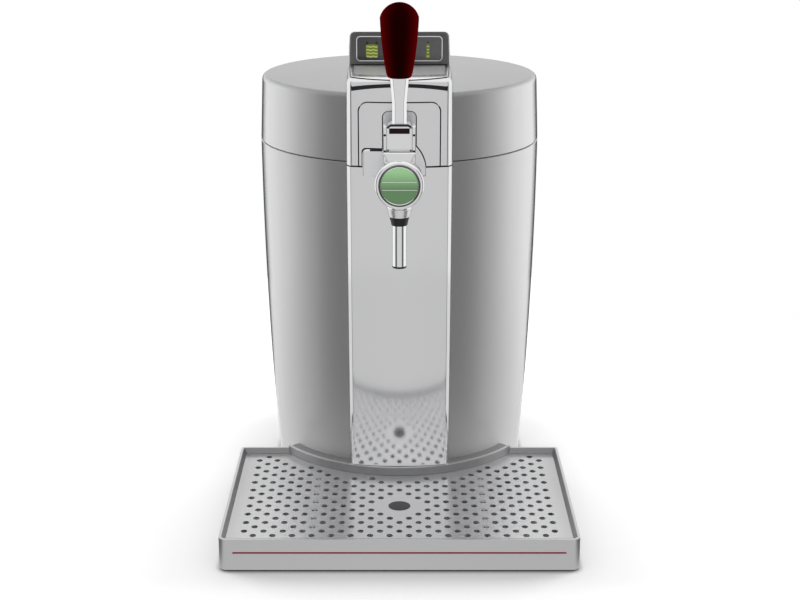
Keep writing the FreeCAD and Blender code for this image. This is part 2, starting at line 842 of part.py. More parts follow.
def make_deck_ring():
    """Top rim of the machine round the mouth of the keg chamber."""
    body = new_body("deck_ring")
    outer = s.drum_seam_radius - s.drum_wall - s.fit_gap
    collar = s.chamber_radius + s.deck_wall
    underside = DECK_TOP - s.deck_wall
    sketch = new_sketch(body, "XZ")
    outline(sketch, [
        (s.chamber_radius, LINER_TOP + s.fit_gap), (collar, LINER_TOP + s.fit_gap), (collar, underside),
        (outer, underside), (outer, DECK_TOP), (s.chamber_radius, DECK_TOP),
    ])
    revolve(body, sketch)


def make_keg_liner():
    body = new_body("keg_liner")
    sketch = new_sketch(body, "XZ")
    outline(sketch, [
        (ZERO, LINER_UNDERSIDE), (LINER_OUTER, LINER_UNDERSIDE), (LINER_OUTER, LINER_TOP),
        (s.chamber_radius, LINER_TOP), (s.chamber_radius, CHAMBER_FLOOR), (ZERO, CHAMBER_FLOOR),
    ])
    revolve(body, sketch)


def make_foam_jacket():
    body = new_body("foam_jacket")
    top = DECK_TOP - s.deck_wall - s.fit_gap
    collar = s.chamber_radius + s.deck_wall + s.fit_gap
    inner = LINER_OUTER + s.fit_gap
    seat = LINER_UNDERSIDE - s.fit_gap
    sketch = new_sketch(body, "XZ")
    outline(sketch, [
        (s.foam_bore, FOAM_BOTTOM), (FOAM_FOOT_RADIUS, FOAM_BOTTOM), (FOAM_RADIUS, top), (collar, top),
        (collar, LINER_TOP), (inner, LINER_TOP), (inner, seat), (s.foam_bore, seat),
    ])
    revolve(body, sketch)


def make_plate(label, side, top, thickness):
    body = new_body(label)
    sketch = new_sketch(body, "XY", top - thickness)
    rectangle(sketch, (-side / 2, -side / 2), (side / 2, side / 2))
    pad(body, sketch, thickness)


def make_cold_plate():
    make_plate("cold_plate", s.cold_plate_side, COLD_PLATE_TOP, s.cold_plate_thickness)


def make_peltier_module():
    make_plate("peltier_module", s.peltier_side, PELTIER_TOP, s.peltier_thickness)


def make_heat_sink():
    body = new_body("heat_sink")
    level = SINK_TOP - s.sink_base
    front = s.sink_back - s.sink_length
    plate = new_sketch(body, "XY", level)
    rectangle(plate, (-s.sink_width / 2, front), (s.sink_width / 2, s.sink_back))
    pad(body, plate, s.sink_base)
    blade = new_sketch(body, "XY", level)
    rectangle(blade, (-s.sink_width / 2, front), (s.fin_thickness - s.sink_width / 2, s.sink_back))
    fin = pad(body, blade, s.sink_height - s.sink_base, toward=-1)
    along_x(body, fin, s.fin_count, s.sink_width - s.fin_thickness)


def make_fan_frame():
    body = new_body("fan_frame")
    half = s.fan_side / 2
    centre = (ZERO, FAN_HEIGHT)
    spider_front = FAN_BACK - s.spider_width
    block = new_sketch(body, "XZ", FAN_FRONT)
    rectangle(block, (-half, FAN_HEIGHT - half), (half, FAN_HEIGHT + half))
    pad(body, block, s.fan_depth)
    bore = new_sketch(body, "XZ", FAN_FRONT)
    circle(bore, centre, s.fan_bore)
    pocket(body, bore, s.fan_depth)
    spoke = new_sketch(body, "XZ", spider_front)
    width = s.spider_width / 2
    rectangle(spoke, (-s.fan_bore - width, FAN_HEIGHT - width), (s.fan_bore + width, FAN_HEIGHT + width))
    pad(body, spoke, s.spider_width)
    upright = new_sketch(body, "XZ", spider_front)
    rectangle(upright, (-width, FAN_HEIGHT - s.fan_bore - width), (width, FAN_HEIGHT + s.fan_bore + width))
    pad(body, upright, s.spider_width)
    hub = new_sketch(body, "XZ", spider_front)
    circle(hub, centre, s.fan_hub)
    pad(body, hub, s.spider_width)
    shaft = new_sketch(body, "XZ", spider_front)
    circle(shaft, centre, s.fan_shaft)
    pad(body, shaft, FAN_SHAFT_LENGTH, toward=-1)


def make_fan_rotor():
    """Hub and skewed blades, drawn about the fan's own centre."""
    body = new_body("fan_rotor", (ZERO, FAN_FRONT, FAN_HEIGHT))
    hub_front = s.fan_tip_gap
    hub_back = s.fan_depth - s.spider_width - s.fan_tip_gap
    hub = new_sketch(body, "XZ", hub_front)
    circle(hub, (ZERO, ZERO), s.fan_hub)
    pad(body, hub, hub_back - hub_front)
    bore = new_sketch(body, "XZ", hub_back)
    circle(bore, (ZERO, ZERO), s.fan_shaft + s.running_gap)
    pocket(body, bore, FAN_SHAFT_LENGTH, toward=-1)
    half_chord = s.fan_hub / 2
    thickness = s.bezel_thickness
    root_place = other_leg(s.fan_hub, half_chord) - s.fit_gap
    tip_place = other_leg(s.fan_bore - s.fan_tip_gap, half_chord)
    blade = new_sketch(body, "YZ", root_place)
    leading = hub_front + thickness
    trailing = hub_back - thickness * 2
    outline(blade, [
        (leading, -half_chord), (leading + thickness, -half_chord),
        (trailing + thickness, half_chord), (trailing, half_chord),
    ])
    around(body, pad(body, blade, tip_place - root_place), s.fan_blades, "Y")


# ---------------------------------------------------------------- machine: electrics


def make_power_supply():
    body = new_body("power_supply")
    sketch = new_sketch(body, "XY", PAN_TOP + s.contact_gap)
    half = s.supply_length / 2
    rectangle(sketch, (-SUPPLY_EDGE, -half), (s.supply_width - SUPPLY_EDGE, half))
    pad(body, sketch, s.supply_height)
    round_edges(body, s.bezel_thickness, lambda edge: is_line_along(edge, UP))


def make_control_board():
    body = new_body("control_board")
    level = PAN_TOP + s.board_post + s.contact_gap
    half = s.board_length / 2
    board = new_sketch(body, "XY", level)
    rectangle(board, (BOARD_LEFT, -half), (BOARD_EDGE, half))
    pad(body, board, s.board_thickness)
    parts = new_sketch(body, "XY", level + s.board_thickness)
    left = BOARD_LEFT + s.board_post
    right = BOARD_EDGE - s.board_post
    front = s.board_post - half
    rectangle(parts, (left, front), (left + s.chip_side, front + s.chip_side))
    rectangle(parts, (right - s.chip_side / 2, front), (right, front + s.chip_side / 2))
    for x in (left + s.can_radius, right - s.can_radius):
        circle(parts, (x, half - s.board_post - s.can_radius), s.can_radius)
    pad(body, parts, s.board_post * 2)


def make_power_rocker():
    """Rocker on two stub pins; its upper half stands proud when it is off."""
    body = new_body("power_rocker", (s.switch_centre, ROCKER_PIVOT, s.switch_height))
    half = s.rocker_tall / 2 - s.slide_gap
    inner = s.pan_wall + s.bezel_thickness
    outline_sketch = new_sketch(body, "YZ")
    outline(outline_sketch, [
        (-inner, -half + s.fit_gap), (s.pan_wall - s.fit_gap, -half), (s.pan_wall + s.fit_gap, ZERO),
        (inner + s.slide_gap, half), (-inner, half - s.fit_gap),
    ])
    pad(body, outline_sketch, s.rocker_width, toward=0)
    axle = new_sketch(body, "YZ")
    circle(axle, (ZERO, ZERO), ROCKER_PIN)
    pad(body, axle, s.rocker_width + s.rocker_pin_length * 2, toward=0)


# ---------------------------------------------------------------- machine: column and rear hinge


def column_sketch(body, level, inset):
    """The column's plan at one height: the front leans out along a large arc that ends upright."""
    below_top = DRUM_TOP - level
    reach = COLUMN_REACH - below_top * below_top / (s.column_sweep * 2) - inset
    sketch = new_sketch(body, "XY", level)
    bowed_outline(sketch, HALF_COLUMN - inset, reach, s.column_depth, s.column_round - inset)
    return sketch


def loft(body, kind, sketches):
    before = body.Tip.Shape.Volume if kind == "SubtractiveLoft" else 0
    feature = body.newObject(f"PartDesign::{kind}", kind)
    feature.Profile = sketches[0]
    feature.Sections = sketches[1:]
    finish(body, feature)
    if before and feature.Shape.Volume > before - 1e-3:
        raise RuntimeError(f"{body.Label}: {feature.Name} removes nothing")
    return feature


def make_front_column():
    body = new_body("front_column")
    foot = s.dock_height + s.fit_gap
    middle_level = (foot + DRUM_TOP) / 2
    loft(body, "AdditiveLoft", [column_sketch(body, level, ZERO) for level in (foot, middle_level, DRUM_TOP)])
    levels = (foot + s.column_wall, middle_level, DRUM_TOP - s.column_wall)
    loft(body, "SubtractiveLoft", [column_sketch(body, level, s.column_wall) for level in levels])
    drum_envelope(body, s.fit_gap)
    notch = new_sketch(body, "XZ", -COLUMN_REACH - s.column_wall)
    rectangle(notch, (-s.block_left, TAP_FOOT), (s.block_right, DRUM_TOP + s.seam_gap))
    pocket(body, notch, COLUMN_REACH - s.drum_base_radius)


def hinge_half(label, half_width, web, bore, clear):
    body = new_body(label)
    knuckle = new_sketch(body, "YZ")
    circle(knuckle, HINGE_POINT, s.knuckle_radius)
    pad(body, knuckle, half_width * 2, toward=0)
    arm = new_sketch(body, "YZ")
    outline(arm, web)
    pad(body, arm, half_width * 2, toward=0)
    clear(body, s.fit_gap)
    hole = new_sketch(body, "YZ")
    circle(hole, HINGE_POINT, bore)
    pocket(body, hole, half_width * 2, toward=0)
    return body


def make_hinge_bracket():
    """Two knuckles on a web that stands on the back of the drum."""
    inside = s.drum_seam_radius - s.drum_wall * 4
    back = HINGE_REACH + s.knuckle_radius
    front = HINGE_REACH - s.knuckle_radius
    foot = HINGE_HEIGHT - s.hinge_leaf
    body = hinge_half("hinge_bracket", s.hinge_half_width, [
        (inside, foot), (front + s.bezel_thickness, foot), (back, HINGE_HEIGHT - s.drum_wall),
        (back, HINGE_HEIGHT), (front, HINGE_HEIGHT), (front, DECK_TOP), (inside, DECK_TOP),
    ], s.hinge_pin_radius, drum_envelope)
    gap = new_sketch(body, "YZ")
    low = HINGE_HEIGHT - s.knuckle_radius - s.seam_gap
    rectangle(gap, (inside, low), (back + s.seam_gap, HINGE_HEIGHT + s.knuckle_radius + s.seam_gap))
    pocket(body, gap, (s.leaf_half_width + s.fit_gap) * 2, toward=0)


def make_hinge_leaf():
    """The lid's knuckle, on a web that stands on the back of the lid."""
    inside = s.drum_seam_radius - s.drum_wall * 4
    back = HINGE_REACH + s.knuckle_radius
    front = HINGE_REACH - s.knuckle_radius
    crown = HINGE_HEIGHT + s.hinge_leaf
    hinge_half("hinge_leaf", s.leaf_half_width, [
        (back, HINGE_HEIGHT), (back, HINGE_HEIGHT + s.drum_wall), (front + s.drum_wall, crown),
        (inside, crown), (inside, LID_BOTTOM + s.drum_wall), (front, LID_BOTTOM + s.drum_wall),
        (front, HINGE_HEIGHT),
    ], s.hinge_pin_radius + s.running_gap, lid_envelope)


def make_rod(label, place, radius, length):
    """A round bar along X, centred on the middle plane."""
    body = new_body(label)
    sketch = new_sketch(body, "YZ")
    circle(sketch, place, radius)
    pad(body, sketch, length, toward=0)
    return body


def make_hinge_pin():
    make_rod("hinge_pin", HINGE_POINT, s.hinge_pin_radius, s.hinge_half_width * 2)


# ---------------------------------------------------------------- machine: tap


def tap_outline(sketch, low, inset):
    """Outline of the opening in the door round the tap, drawn smaller by inset."""
    slot = s.slot_half_width - inset
    left = s.block_left - inset
    right = s.block_right - inset
    outline(sketch, [
        (-left, low), (right, low), (right, LID_BOTTOM), (slot, SHOULDER_HEIGHT - inset),
        (slot, SLOT_TOP - inset), (-slot, SLOT_TOP - inset), (-slot, BLOCK_TOP - inset),
        (-left, BLOCK_TOP - inset),
    ], {2: (s.shoulder_sweep, -1)})


def make_tap_base():
    """Plate that fills the door's opening and carries the tap."""
    body = new_body("tap_base")
    sketch = new_sketch(body, "XZ", -TAP_FACE)
    tap_outline(sketch, TAP_FOOT + s.fit_gap, s.slide_gap)
    pad(body, sketch, TAP_FACE - TAP_ROOT)
    round_edges(body, s.slot_corner - s.slide_gap, lambda edge: (
        is_line_along(edge, DEEP) and near(middle(edge).z, SLOT_TOP - s.slide_gap, 0.01)
    ))
    hose = new_sketch(body, "XZ", -TAP_FACE)
    circle(hose, (ZERO, HOSE_HEIGHT), s.hose_bore)
    pocket(body, hose, TAP_FACE - TAP_ROOT)


def make_tap_body():
    """Round tap head, its arm, the two ears that hold the lever and the lip in front of them."""
    body = new_body("tap_body")
    back = -(TAP_FACE + s.fit_gap)
    ear_front = -(PIVOT_REACH + s.ear_depth / 2)
    ear_back = -(PIVOT_REACH - s.ear_depth / 2)
    foot = CONE_TOP + s.fit_gap
    puck = new_sketch(body, "XZ", -PUCK_FACE)
    circle(puck, (ZERO, BADGE_HEIGHT), s.puck_radius)
    pad(body, puck, s.puck_thickness)
    round_edges(body, s.bezel_thickness, lambda edge: near(middle(edge).y, -PUCK_FACE, 0.01))
    arm = new_sketch(body, "YZ")
    step = -(COLUMN_REACH + s.fit_gap)
    step_height = TAP_FOOT + s.fit_gap
    outline(arm, [
        (ear_front, ARM_BOTTOM), (step, ARM_BOTTOM), (step, step_height), (back, step_height),
        (back, ARM_TOP), (ear_back, ARM_TOP), (ear_back, EAR_TOP), (ear_front, EAR_TOP),
    ])
    pad(body, arm, s.arm_half_width * 2, toward=0)
    lip = new_sketch(body, "YZ")
    lip_foot = ARM_TOP - s.ear_thickness
    lip_top = PIVOT_HEIGHT + s.lip_rise
    outline(lip, [
        (ear_front, lip_foot), (ear_front, lip_top - s.lip_slope), (ear_front - s.lip_slope, lip_top),
        (ear_front - s.lip_slope - s.lip_edge, lip_top), (ear_front - s.lip_depth, lip_foot),
    ])
    pad(body, lip, s.arm_half_width * 2, toward=0)
    boss = new_sketch(body, "XY", foot)
    circle(boss, (ZERO, -SPOUT_REACH), s.cone_top_radius)
    pad(body, boss, BADGE_HEIGHT - foot)
    fork = new_sketch(body, "YZ")
    rectangle(fork, (ear_front, YOKE_FLOOR), (ear_back, EAR_TOP + s.seam_gap))
    pocket(body, fork, (s.arm_half_width - s.ear_thickness) * 2, toward=0)
    for rise, radius in ((ZERO, s.pivot_radius), (s.ear_pin_rise, s.ear_pin_radius)):
        hole = new_sketch(body, "YZ")
        circle(hole, (-PIVOT_REACH, PIVOT_HEIGHT + rise), radius)
        pocket(body, hole, s.arm_half_width * 2, toward=0)
    spout = new_sketch(body, "XY", foot)
    circle(spout, (ZERO, -SPOUT_REACH), s.spout_bore)
    pocket(body, spout, HOSE_HEIGHT + s.hose_bore - foot)
    hose = new_sketch(body, "XZ", back)
    circle(hose, (ZERO, HOSE_HEIGHT), s.hose_bore)
    pocket(body, hose, SPOUT_REACH - TAP_FACE, toward=-1)
    guide = new_sketch(body, "XY", YOKE_FLOOR)
    circle(guide, (ZERO, -PIVOT_REACH), s.plunger_radius + s.running_gap)
    pocket(body, guide, YOKE_FLOOR - HOSE_HEIGHT, toward=-1)
    seat = new_sketch(body, "XZ", -PUCK_FACE)
    circle(seat, (ZERO, BADGE_HEIGHT), s.badge_ring_radius + s.running_gap)
    pocket(body, seat, s.badge_seat)
    round_edges(body, s.ear_depth / 4, lambda edge: (
        is_line_along(edge, ACROSS) and near(middle(edge).z, EAR_TOP, 0.01)
    ))


def spout_ring(label, points):
    body = new_body(label, (ZERO, -SPOUT_REACH, ZERO))
    sketch = new_sketch(body, "XZ")
    outline(sketch, points)
    revolve(body, sketch)


def make_spout_cone():
    low = COLLAR_TOP + s.contact_gap
    spout_ring("spout_cone", [
        (s.spout_bore, low), (s.cone_bottom_radius, low), (s.cone_top_radius, CONE_TOP),
        (s.spout_bore, CONE_TOP),
    ])


def make_spout_collar():
    inner = s.tube_radius + s.running_gap
    spout_ring("spout_collar", [
        (inner, COLLAR_BOTTOM), (s.collar_bottom_radius, COLLAR_BOTTOM),
        (s.collar_top_radius, COLLAR_TOP), (inner, COLLAR_TOP),
    ])


def make_spout_tube():
    spout_ring("spout_tube", [
        (s.spout_bore, TUBE_TIP), (s.tube_radius, TUBE_TIP), (s.tube_radius, COLLAR_TOP),
        (s.spout_bore, COLLAR_TOP),
    ])


def make_badge_ring():
    body = new_body("badge_ring")
    sketch = new_sketch(body, "XZ", BADGE_SEAT)
    circle(sketch, (ZERO, BADGE_HEIGHT), s.badge_ring_radius)
    circle(sketch, (ZERO, BADGE_HEIGHT), s.badge_radius + s.running_gap)
    pad(body, sketch, s.badge_ring_thickness, toward=-1)


def make_badge_disc():
    body = new_body("badge_disc")
    sketch = new_sketch(body, "XZ", BADGE_SEAT)
    circle(sketch, (ZERO, BADGE_HEIGHT), s.badge_radius)
    pad(body, sketch, s.badge_thickness, toward=-1)


def make_lever_pin():
    make_rod("lever_pin", PIVOT_POINT, s.pivot_radius, s.arm_half_width * 2)


def make_ear_pins():
    """A short pin through the top of each ear, flush with both of its faces."""
    body = new_body("ear_pins")
    body.AllowCompound = True
    for level in (-s.arm_half_width, s.arm_half_width - s.ear_thickness):
        sketch = new_sketch(body, "YZ", level)
        circle(sketch, (-PIVOT_REACH, PIVOT_HEIGHT + s.ear_pin_rise), s.ear_pin_radius)
        pad(body, sketch, s.ear_thickness)


# ---------------------------------------------------------------- lever and pinch valve


def make_lever_arm():
    """Yoke between the ears, with a cam flat under its front, and the neck that carries the knob."""
    body = new_body("lever_arm")
    y = -PIVOT_REACH
    front = y - s.yoke_half_depth
    back = y + s.yoke_half_depth
    side = new_sketch(body, "YZ")
    # The cam flat is square to a line 45 degrees down to the front, at cam_reach from the pivot.
    half_flat = other_leg(s.yoke_half_depth, s.cam_reach)
    diagonal = root(as_size(2))
    far = (s.cam_reach + half_flat) / diagonal
    close = (s.cam_reach - half_flat) / diagonal
    flat_front = (y - far, PIVOT_HEIGHT - close)
    flat_back = (y - close, PIVOT_HEIGHT - far)
    outline(side, [
        (front, YOKE_TOP), (front, PIVOT_HEIGHT + half_flat / 2), flat_front, flat_back,
        (back, PIVOT_HEIGHT), (back, YOKE_TOP),
    ], {3: (s.yoke_half_depth, -1)})
    pad(body, side, s.yoke_width, toward=0)
    band = new_sketch(body, "XZ", front)
    rectangle(band, (-s.flap_half_width, FLAP_TOP), (s.flap_half_width, BAND_TOP))
    pocket(body, band, s.yoke_half_depth / 2)
    relief = new_sketch(body, "XZ", front)
    edge = s.yoke_width / 2
    rectangle(relief, (-edge, PIVOT_HEIGHT - s.yoke_half_depth), (-s.flap_half_width, BAND_TOP))
    rectangle(relief, (s.flap_half_width, PIVOT_HEIGHT - s.yoke_half_depth), (edge, BAND_TOP))
    pocket(body, relief, s.flap_relief)
    sections = []
    for level, width, depth in (
        (YOKE_TOP, s.neck_width, s.neck_depth), (NECK_WAIST, s.neck_width, s.neck_depth),
        (NECK_TOP, s.neck_flare, s.neck_flare_depth),
    ):
        sketch = new_sketch(body, "XY", level)
        rounded_rectangle(sketch, (-width / 2, y - depth / 2), (width / 2, y + depth / 2), s.neck_depth / 3)
        sections.append(sketch)
    loft(body, "AdditiveLoft", sections)
    pivot = new_sketch(body, "YZ")
    circle(pivot, PIVOT_POINT, s.pivot_radius + s.running_gap)
    pocket(body, pivot, s.yoke_width, toward=0)
    bore = new_sketch(body, "XY", NECK_TOP)
    circle(bore, (ZERO, y), s.stud_radius + s.running_gap)
    pocket(body, bore, s.stud_sink + s.fit_gap, toward=-1)


def make_knob_stud():
    body = new_body("knob_stud")
    sketch = new_sketch(body, "XY", NECK_TOP - s.stud_sink)
    circle(sketch, (ZERO, -PIVOT_REACH), s.stud_radius)
    pad(body, sketch, s.stud_length)


def make_lever_knob():
    body = new_body("lever_knob", (ZERO, -PIVOT_REACH, ZERO))
    rise = KNOB_TOP - KNOB_WIDE
    dome = (s.knob_wide_radius * s.knob_wide_radius + rise * rise) / (rise * 2)
    sketch = new_sketch(body, "XZ")
    outline(sketch, [
        (ZERO, KNOB_BASE), (s.knob_foot_radius, KNOB_BASE), (s.knob_low_radius, KNOB_LOW),
        (s.knob_wide_radius, KNOB_WIDE), (ZERO, KNOB_TOP),
    ], {2: (s.knob_side_sweep, -1), 3: (dome, -1)})
    revolve(body, sketch)
    bore = new_sketch(body, "XY", KNOB_BASE)
    circle(bore, (ZERO, ZERO), s.stud_radius + s.running_gap)
    pocket(body, bore, s.stud_length - s.stud_sink + s.fit_gap)


def make_pinch_plunger():
    body = new_body("pinch_plunger")
    corner = PIVOT_HEIGHT - (s.cam_reach + other_leg(s.yoke_half_depth, s.cam_reach)) / root(as_size(2))
    sketch = new_sketch(body, "XY", corner - s.cam_gap - s.plunger_length)
    circle(sketch, (ZERO, -PIVOT_REACH), s.plunger_radius)
    pad(body, sketch, s.plunger_length)


# ---------------------------------------------------------------- lid


def make_lid_shell():
    body = new_body("lid_shell")
    sketch = new_sketch(body, "XZ")
    inner_top = LID_TOP - s.drum_wall
    outline(sketch, [
        (ZERO, inner_top), (s.lid_shoulder_radius - s.drum_wall, inner_top),
        (s.drum_seam_radius - s.drum_wall, LID_BOTTOM), (s.drum_seam_radius, LID_BOTTOM),
        (s.lid_shoulder_radius, LID_TOP), (ZERO, LID_TOP),
    ])
    revolve(body, sketch)
    round_edges(body, s.lid_round, lambda edge: (
        near(edge.BoundBox.ZMin, LID_TOP, 0.01) and near(edge.BoundBox.XMax, s.lid_shoulder_radius)
    ))
    notch = new_sketch(body, "XZ")
    rectangle(notch, (-LID_NOTCH_HALF, LID_BOTTOM - s.seam_gap), (LID_NOTCH_HALF, LID_NOTCH_TOP))
    pocket(body, notch, COLUMN_REACH, toward=-1)


def make_lid_liner():
    """Inner cover with the well that clears the top of the keg, notched for the beer hose."""
    body = new_body("lid_liner")
    flange = s.drum_seam_radius - s.drum_wall - s.fit_gap * 2
    low = LID_BOTTOM + s.seam_gap
    outer = s.lid_well_radius + s.drum_wall
    sketch = new_sketch(body, "XZ")
    outline(sketch, [
        (ZERO, WELL_CEILING), (s.lid_well_radius, WELL_CEILING), (s.lid_well_radius, low),
        (flange, low), (flange, low + s.drum_wall), (outer, low + s.drum_wall),
        (outer, WELL_CEILING + s.drum_wall), (ZERO, WELL_CEILING + s.drum_wall),
    ])
    revolve(body, sketch)
    notch = new_sketch(body, "XZ")
    rectangle(notch, (-s.hose_notch_half, low - s.seam_gap), (s.hose_notch_half, HOSE_NOTCH_TOP))
    pocket(body, notch, COLUMN_REACH, toward=-1)


def make_lid_foam():
    body = new_body("lid_foam")
    low = WELL_CEILING + s.drum_wall + s.fit_gap
    sketch = new_sketch(body, "XY", low)
    circle(sketch, (ZERO, ZERO), s.lid_foam_radius)
    pad(body, sketch, LID_TOP - s.drum_wall - s.fit_gap - low)


def make_lid_gasket():
    body = new_body("lid_gasket")
    sketch = new_sketch(body, "XZ")
    rectangle(
        sketch, (s.gasket_radius, DECK_TOP + s.fit_gap),
        (s.gasket_radius + s.gasket_width, LID_BOTTOM + s.seam_gap - s.contact_gap),
    )
    revolve(body, sketch)


def make_hood():
    """Nose of the lid: the frame round the door, the top ledge and the finger grip under it."""
    body = new_body("hood")
    plan = new_sketch(body, "XY", LID_BOTTOM)
    bowed_outline(plan, HALF_COLUMN, COLUMN_REACH, s.hood_back, s.column_round)
    pad(body, plan, HOOD_TOP - LID_BOTTOM)
    round_edges(body, s.hood_round, lambda edge: (
        near(edge.BoundBox.ZMin, HOOD_TOP, 0.01) and middle(edge).y < -s.hood_back.number - 1
    ))
    lid_envelope(body, s.fit_gap)
    front = -COLUMN_REACH - s.column_wall
    recess = new_sketch(body, "XZ", front)
    half = HALF_COLUMN - s.frame_edge
    rectangle(recess, (-half, LID_BOTTOM - s.seam_gap), (half, RECESS_TOP))
    pocket(body, recess, -front - RECESS_BACK)
    notch = new_sketch(body, "XZ", front)
    rectangle(notch, (-LID_NOTCH_HALF, LID_BOTTOM - s.seam_gap), (LID_NOTCH_HALF, LID_NOTCH_TOP))
    pocket(body, notch, -front - s.hood_back)
    seat = new_sketch(body, "XY", HOOD_TOP)
    shelf_outline(seat, ZERO)
    pocket(body, seat, s.shelf_thickness - s.shelf_proud, toward=-1)


def shelf_outline(sketch, inset):
    half = SHELF_HALF - inset
    back = -(BEZEL_FACE + s.trim_width) - inset
    edge = -(SHELF_FRONT - sag(s.shelf_bow, SHELF_HALF)) + inset
    outline(sketch, [(-half, back), (-half, edge), (half, edge), (half, back)], {1: (s.shelf_bow, -1)})


def make_shelf_plate():
    """Bright plate let into the ledge in front of the display."""
    body = new_body("shelf_plate")
    sketch = new_sketch(body, "XY", HOOD_TOP - s.shelf_thickness + s.shelf_proud)
    shelf_outline(sketch, s.contact_gap)
    pad(body, sketch, s.shelf_thickness)
    crown = HOOD_TOP + s.shelf_proud
    round_edges(body, s.shelf_round, lambda edge: (
        near(edge.BoundBox.ZMin, crown, 0.01) and isinstance(edge.Curve, Part.Circle)
    ))


def panel_plan(sketch, half_width):
    edge = -(COLUMN_REACH - s.panel_inset - sag(s.column_bow, half_width))
    rear = edge + s.panel_thickness
    outline(
        sketch, [(-half_width, edge), (half_width, edge), (half_width, rear), (-half_width, rear)],
        {0: (s.column_bow, -1), 2: (s.column_bow, 1)},
    )


def arch_outline(sketch, half, low, top, corner):
    outline(sketch, [
        (-half, low), (half, low), (half, top - corner), (half - corner, top), (corner - half, top),
        (-half, top - corner),
    ], {2: (corner, -1), 4: (corner, -1)})


def make_head_panel():
    """Inset panel in the hood's frame, with an arched top edge and the opening for the door."""
    body = new_body("head_panel")
    half = HALF_COLUMN - s.frame_edge - s.fit_gap
    plan = new_sketch(body, "XY", LID_BOTTOM)
    panel_plan(plan, half)
    pad(body, plan, PANEL_CROWN - LID_BOTTOM)
    crown = new_sketch(body, "XZ", -COLUMN_REACH)
    shoulder = PANEL_CROWN - sag(s.panel_crown_radius, half)
    high = PANEL_CROWN + s.seam_gap
    outline(crown, [(-half, shoulder), (half, shoulder), (half, high), (-half, high)], {
        0: (s.panel_crown_radius, 1),
    })
    pocket(body, crown, COLUMN_REACH - RECESS_BACK)
    opening = new_sketch(body, "XZ", -COLUMN_REACH)
    gap = s.fit_gap
    arch_outline(
        opening, s.door_half_width + gap, LID_BOTTOM - s.seam_gap, DOOR_TOP + gap, s.door_corner + gap
    )
    pocket(body, opening, COLUMN_REACH - RECESS_BACK)


def make_door_panel():
    """Door in the head panel, cut away round the tap."""
    body = new_body("door_panel")
    plan = new_sketch(body, "XY", LID_BOTTOM)
    panel_plan(plan, s.door_half_width)
    pad(body, plan, DOOR_TOP - LID_BOTTOM)
    round_edges(body, s.door_corner, lambda edge: (
        is_line_along(edge, DEEP) and near(middle(edge).z, DOOR_TOP, 0.01)
    ))
    opening = new_sketch(body, "XZ", -COLUMN_REACH)
    tap_outline(opening, LID_BOTTOM - s.seam_gap, ZERO)
    pocket(body, opening, COLUMN_REACH - RECESS_BACK)
    round_edges(body, s.slot_corner, lambda edge: (
        is_line_along(edge, DEEP) and near(middle(edge).z, SLOT_TOP, 0.01)
    ))


# ---------------------------------------------------------------- display


def make_display_pod():
    """Hollow pod that stands up behind the ledge and slopes down to the back."""
    body = new_body("display_pod")
    side = new_sketch(body, "YZ")
    outline(side, [(-POD_FACE, LID_CLEAR_TOP), (s.pod_tail, LID_CLEAR_TOP), (-POD_FACE, POD_TOP)], {
        1: (s.pod_roof_sweep, -1),
    })
    pad(body, side, s.column_width, toward=0)
    round_edges(body, s.pod_round, lambda edge: (
        near(abs(middle(edge).x), HALF_COLUMN) and middle(edge).z > HOOD_TOP.number
        and middle(edge).y > -POD_FACE.number + 1
    ))
    wall = s.pod_wall
    cavity = new_sketch(body, "YZ")
    outline(cavity, [
        (wall - POD_FACE, LID_CLEAR_TOP), (s.pod_tail - wall * 3, LID_CLEAR_TOP),
        (wall - POD_FACE, POD_TOP - wall * 1.5),
    ])
    pocket(body, cavity, s.column_width - wall * 2, toward=0)
    window = new_sketch(body, "XZ", -POD_FACE)
    rectangle(window, display_corner_low(s.pod_wall), display_corner_high(s.pod_wall))
    pocket(body, window, wall)


def display_corner_low(inset):
    return (inset - DISPLAY_HALF, DISPLAY_BOTTOM + inset)


def display_corner_high(inset):
    return (DISPLAY_HALF - inset, DISPLAY_TOP - inset)


def make_display_bezel():
    body = new_body("display_bezel")
    sketch = new_sketch(body, "XZ", -POD_FACE - s.contact_gap)
    half = BEZEL_HALF
    rounded_rectangle(
        sketch, (-half, BEZEL_BOTTOM), (half, POD_TOP - s.trim_width), s.display_corner
    )
    rounded_rectangle(sketch, display_corner_low(ZERO), display_corner_high(ZERO), s.display_corner)
    pad(body, sketch, s.bezel_thickness, toward=-1)


def make_display_trim():
    body = new_body("display_trim")
    sketch = new_sketch(body, "XZ", -POD_FACE - s.contact_gap)
    gap = s.running_gap
    width = s.trim_width
    corner = s.display_corner
    rounded_rectangle(sketch, display_corner_low(gap), display_corner_high(gap), corner)
    rounded_rectangle(sketch, display_corner_low(width), display_corner_high(width), corner - width)
    pad(body, sketch, s.bezel_thickness + s.contact_gap, toward=-1)


def make_display_glass():
    body = new_body("display_glass")
    sketch = new_sketch(body, "XZ", -POD_FACE - s.contact_gap)
    inset = s.trim_width + s.running_gap
    rounded_rectangle(
        sketch, display_corner_low(inset), display_corner_high(inset), s.display_corner - s.trim_width
    )
    pad(body, sketch, s.glass_thickness, toward=-1)


def make_display_lcd():
    """Display module in the pod's window, behind the glass."""
    body = new_body("display_lcd")
    sketch = new_sketch(body, "XZ", -POD_FACE)
    inset = s.pod_wall + s.contact_gap
    rectangle(sketch, display_corner_low(inset), display_corner_high(inset))
    pad(body, sketch, s.lcd_thickness)


# ---------------------------------------------------------------- drip tray


def tray_outline(sketch, inset, ring):
    """The tray's plan: a rectangle whose back is hollowed round the drum's axis."""
    half = s.tray_half_width - inset
    back = -(s.tray_back + inset)
    front = inset - s.tray_reach
    hollow = other_leg(ring, -back)
    outline(
        sketch, [(-half, front), (half, front), (half, back), (hollow, back), (-hollow, back), (-half, back)],
        {3: (ring, 1)},
    )


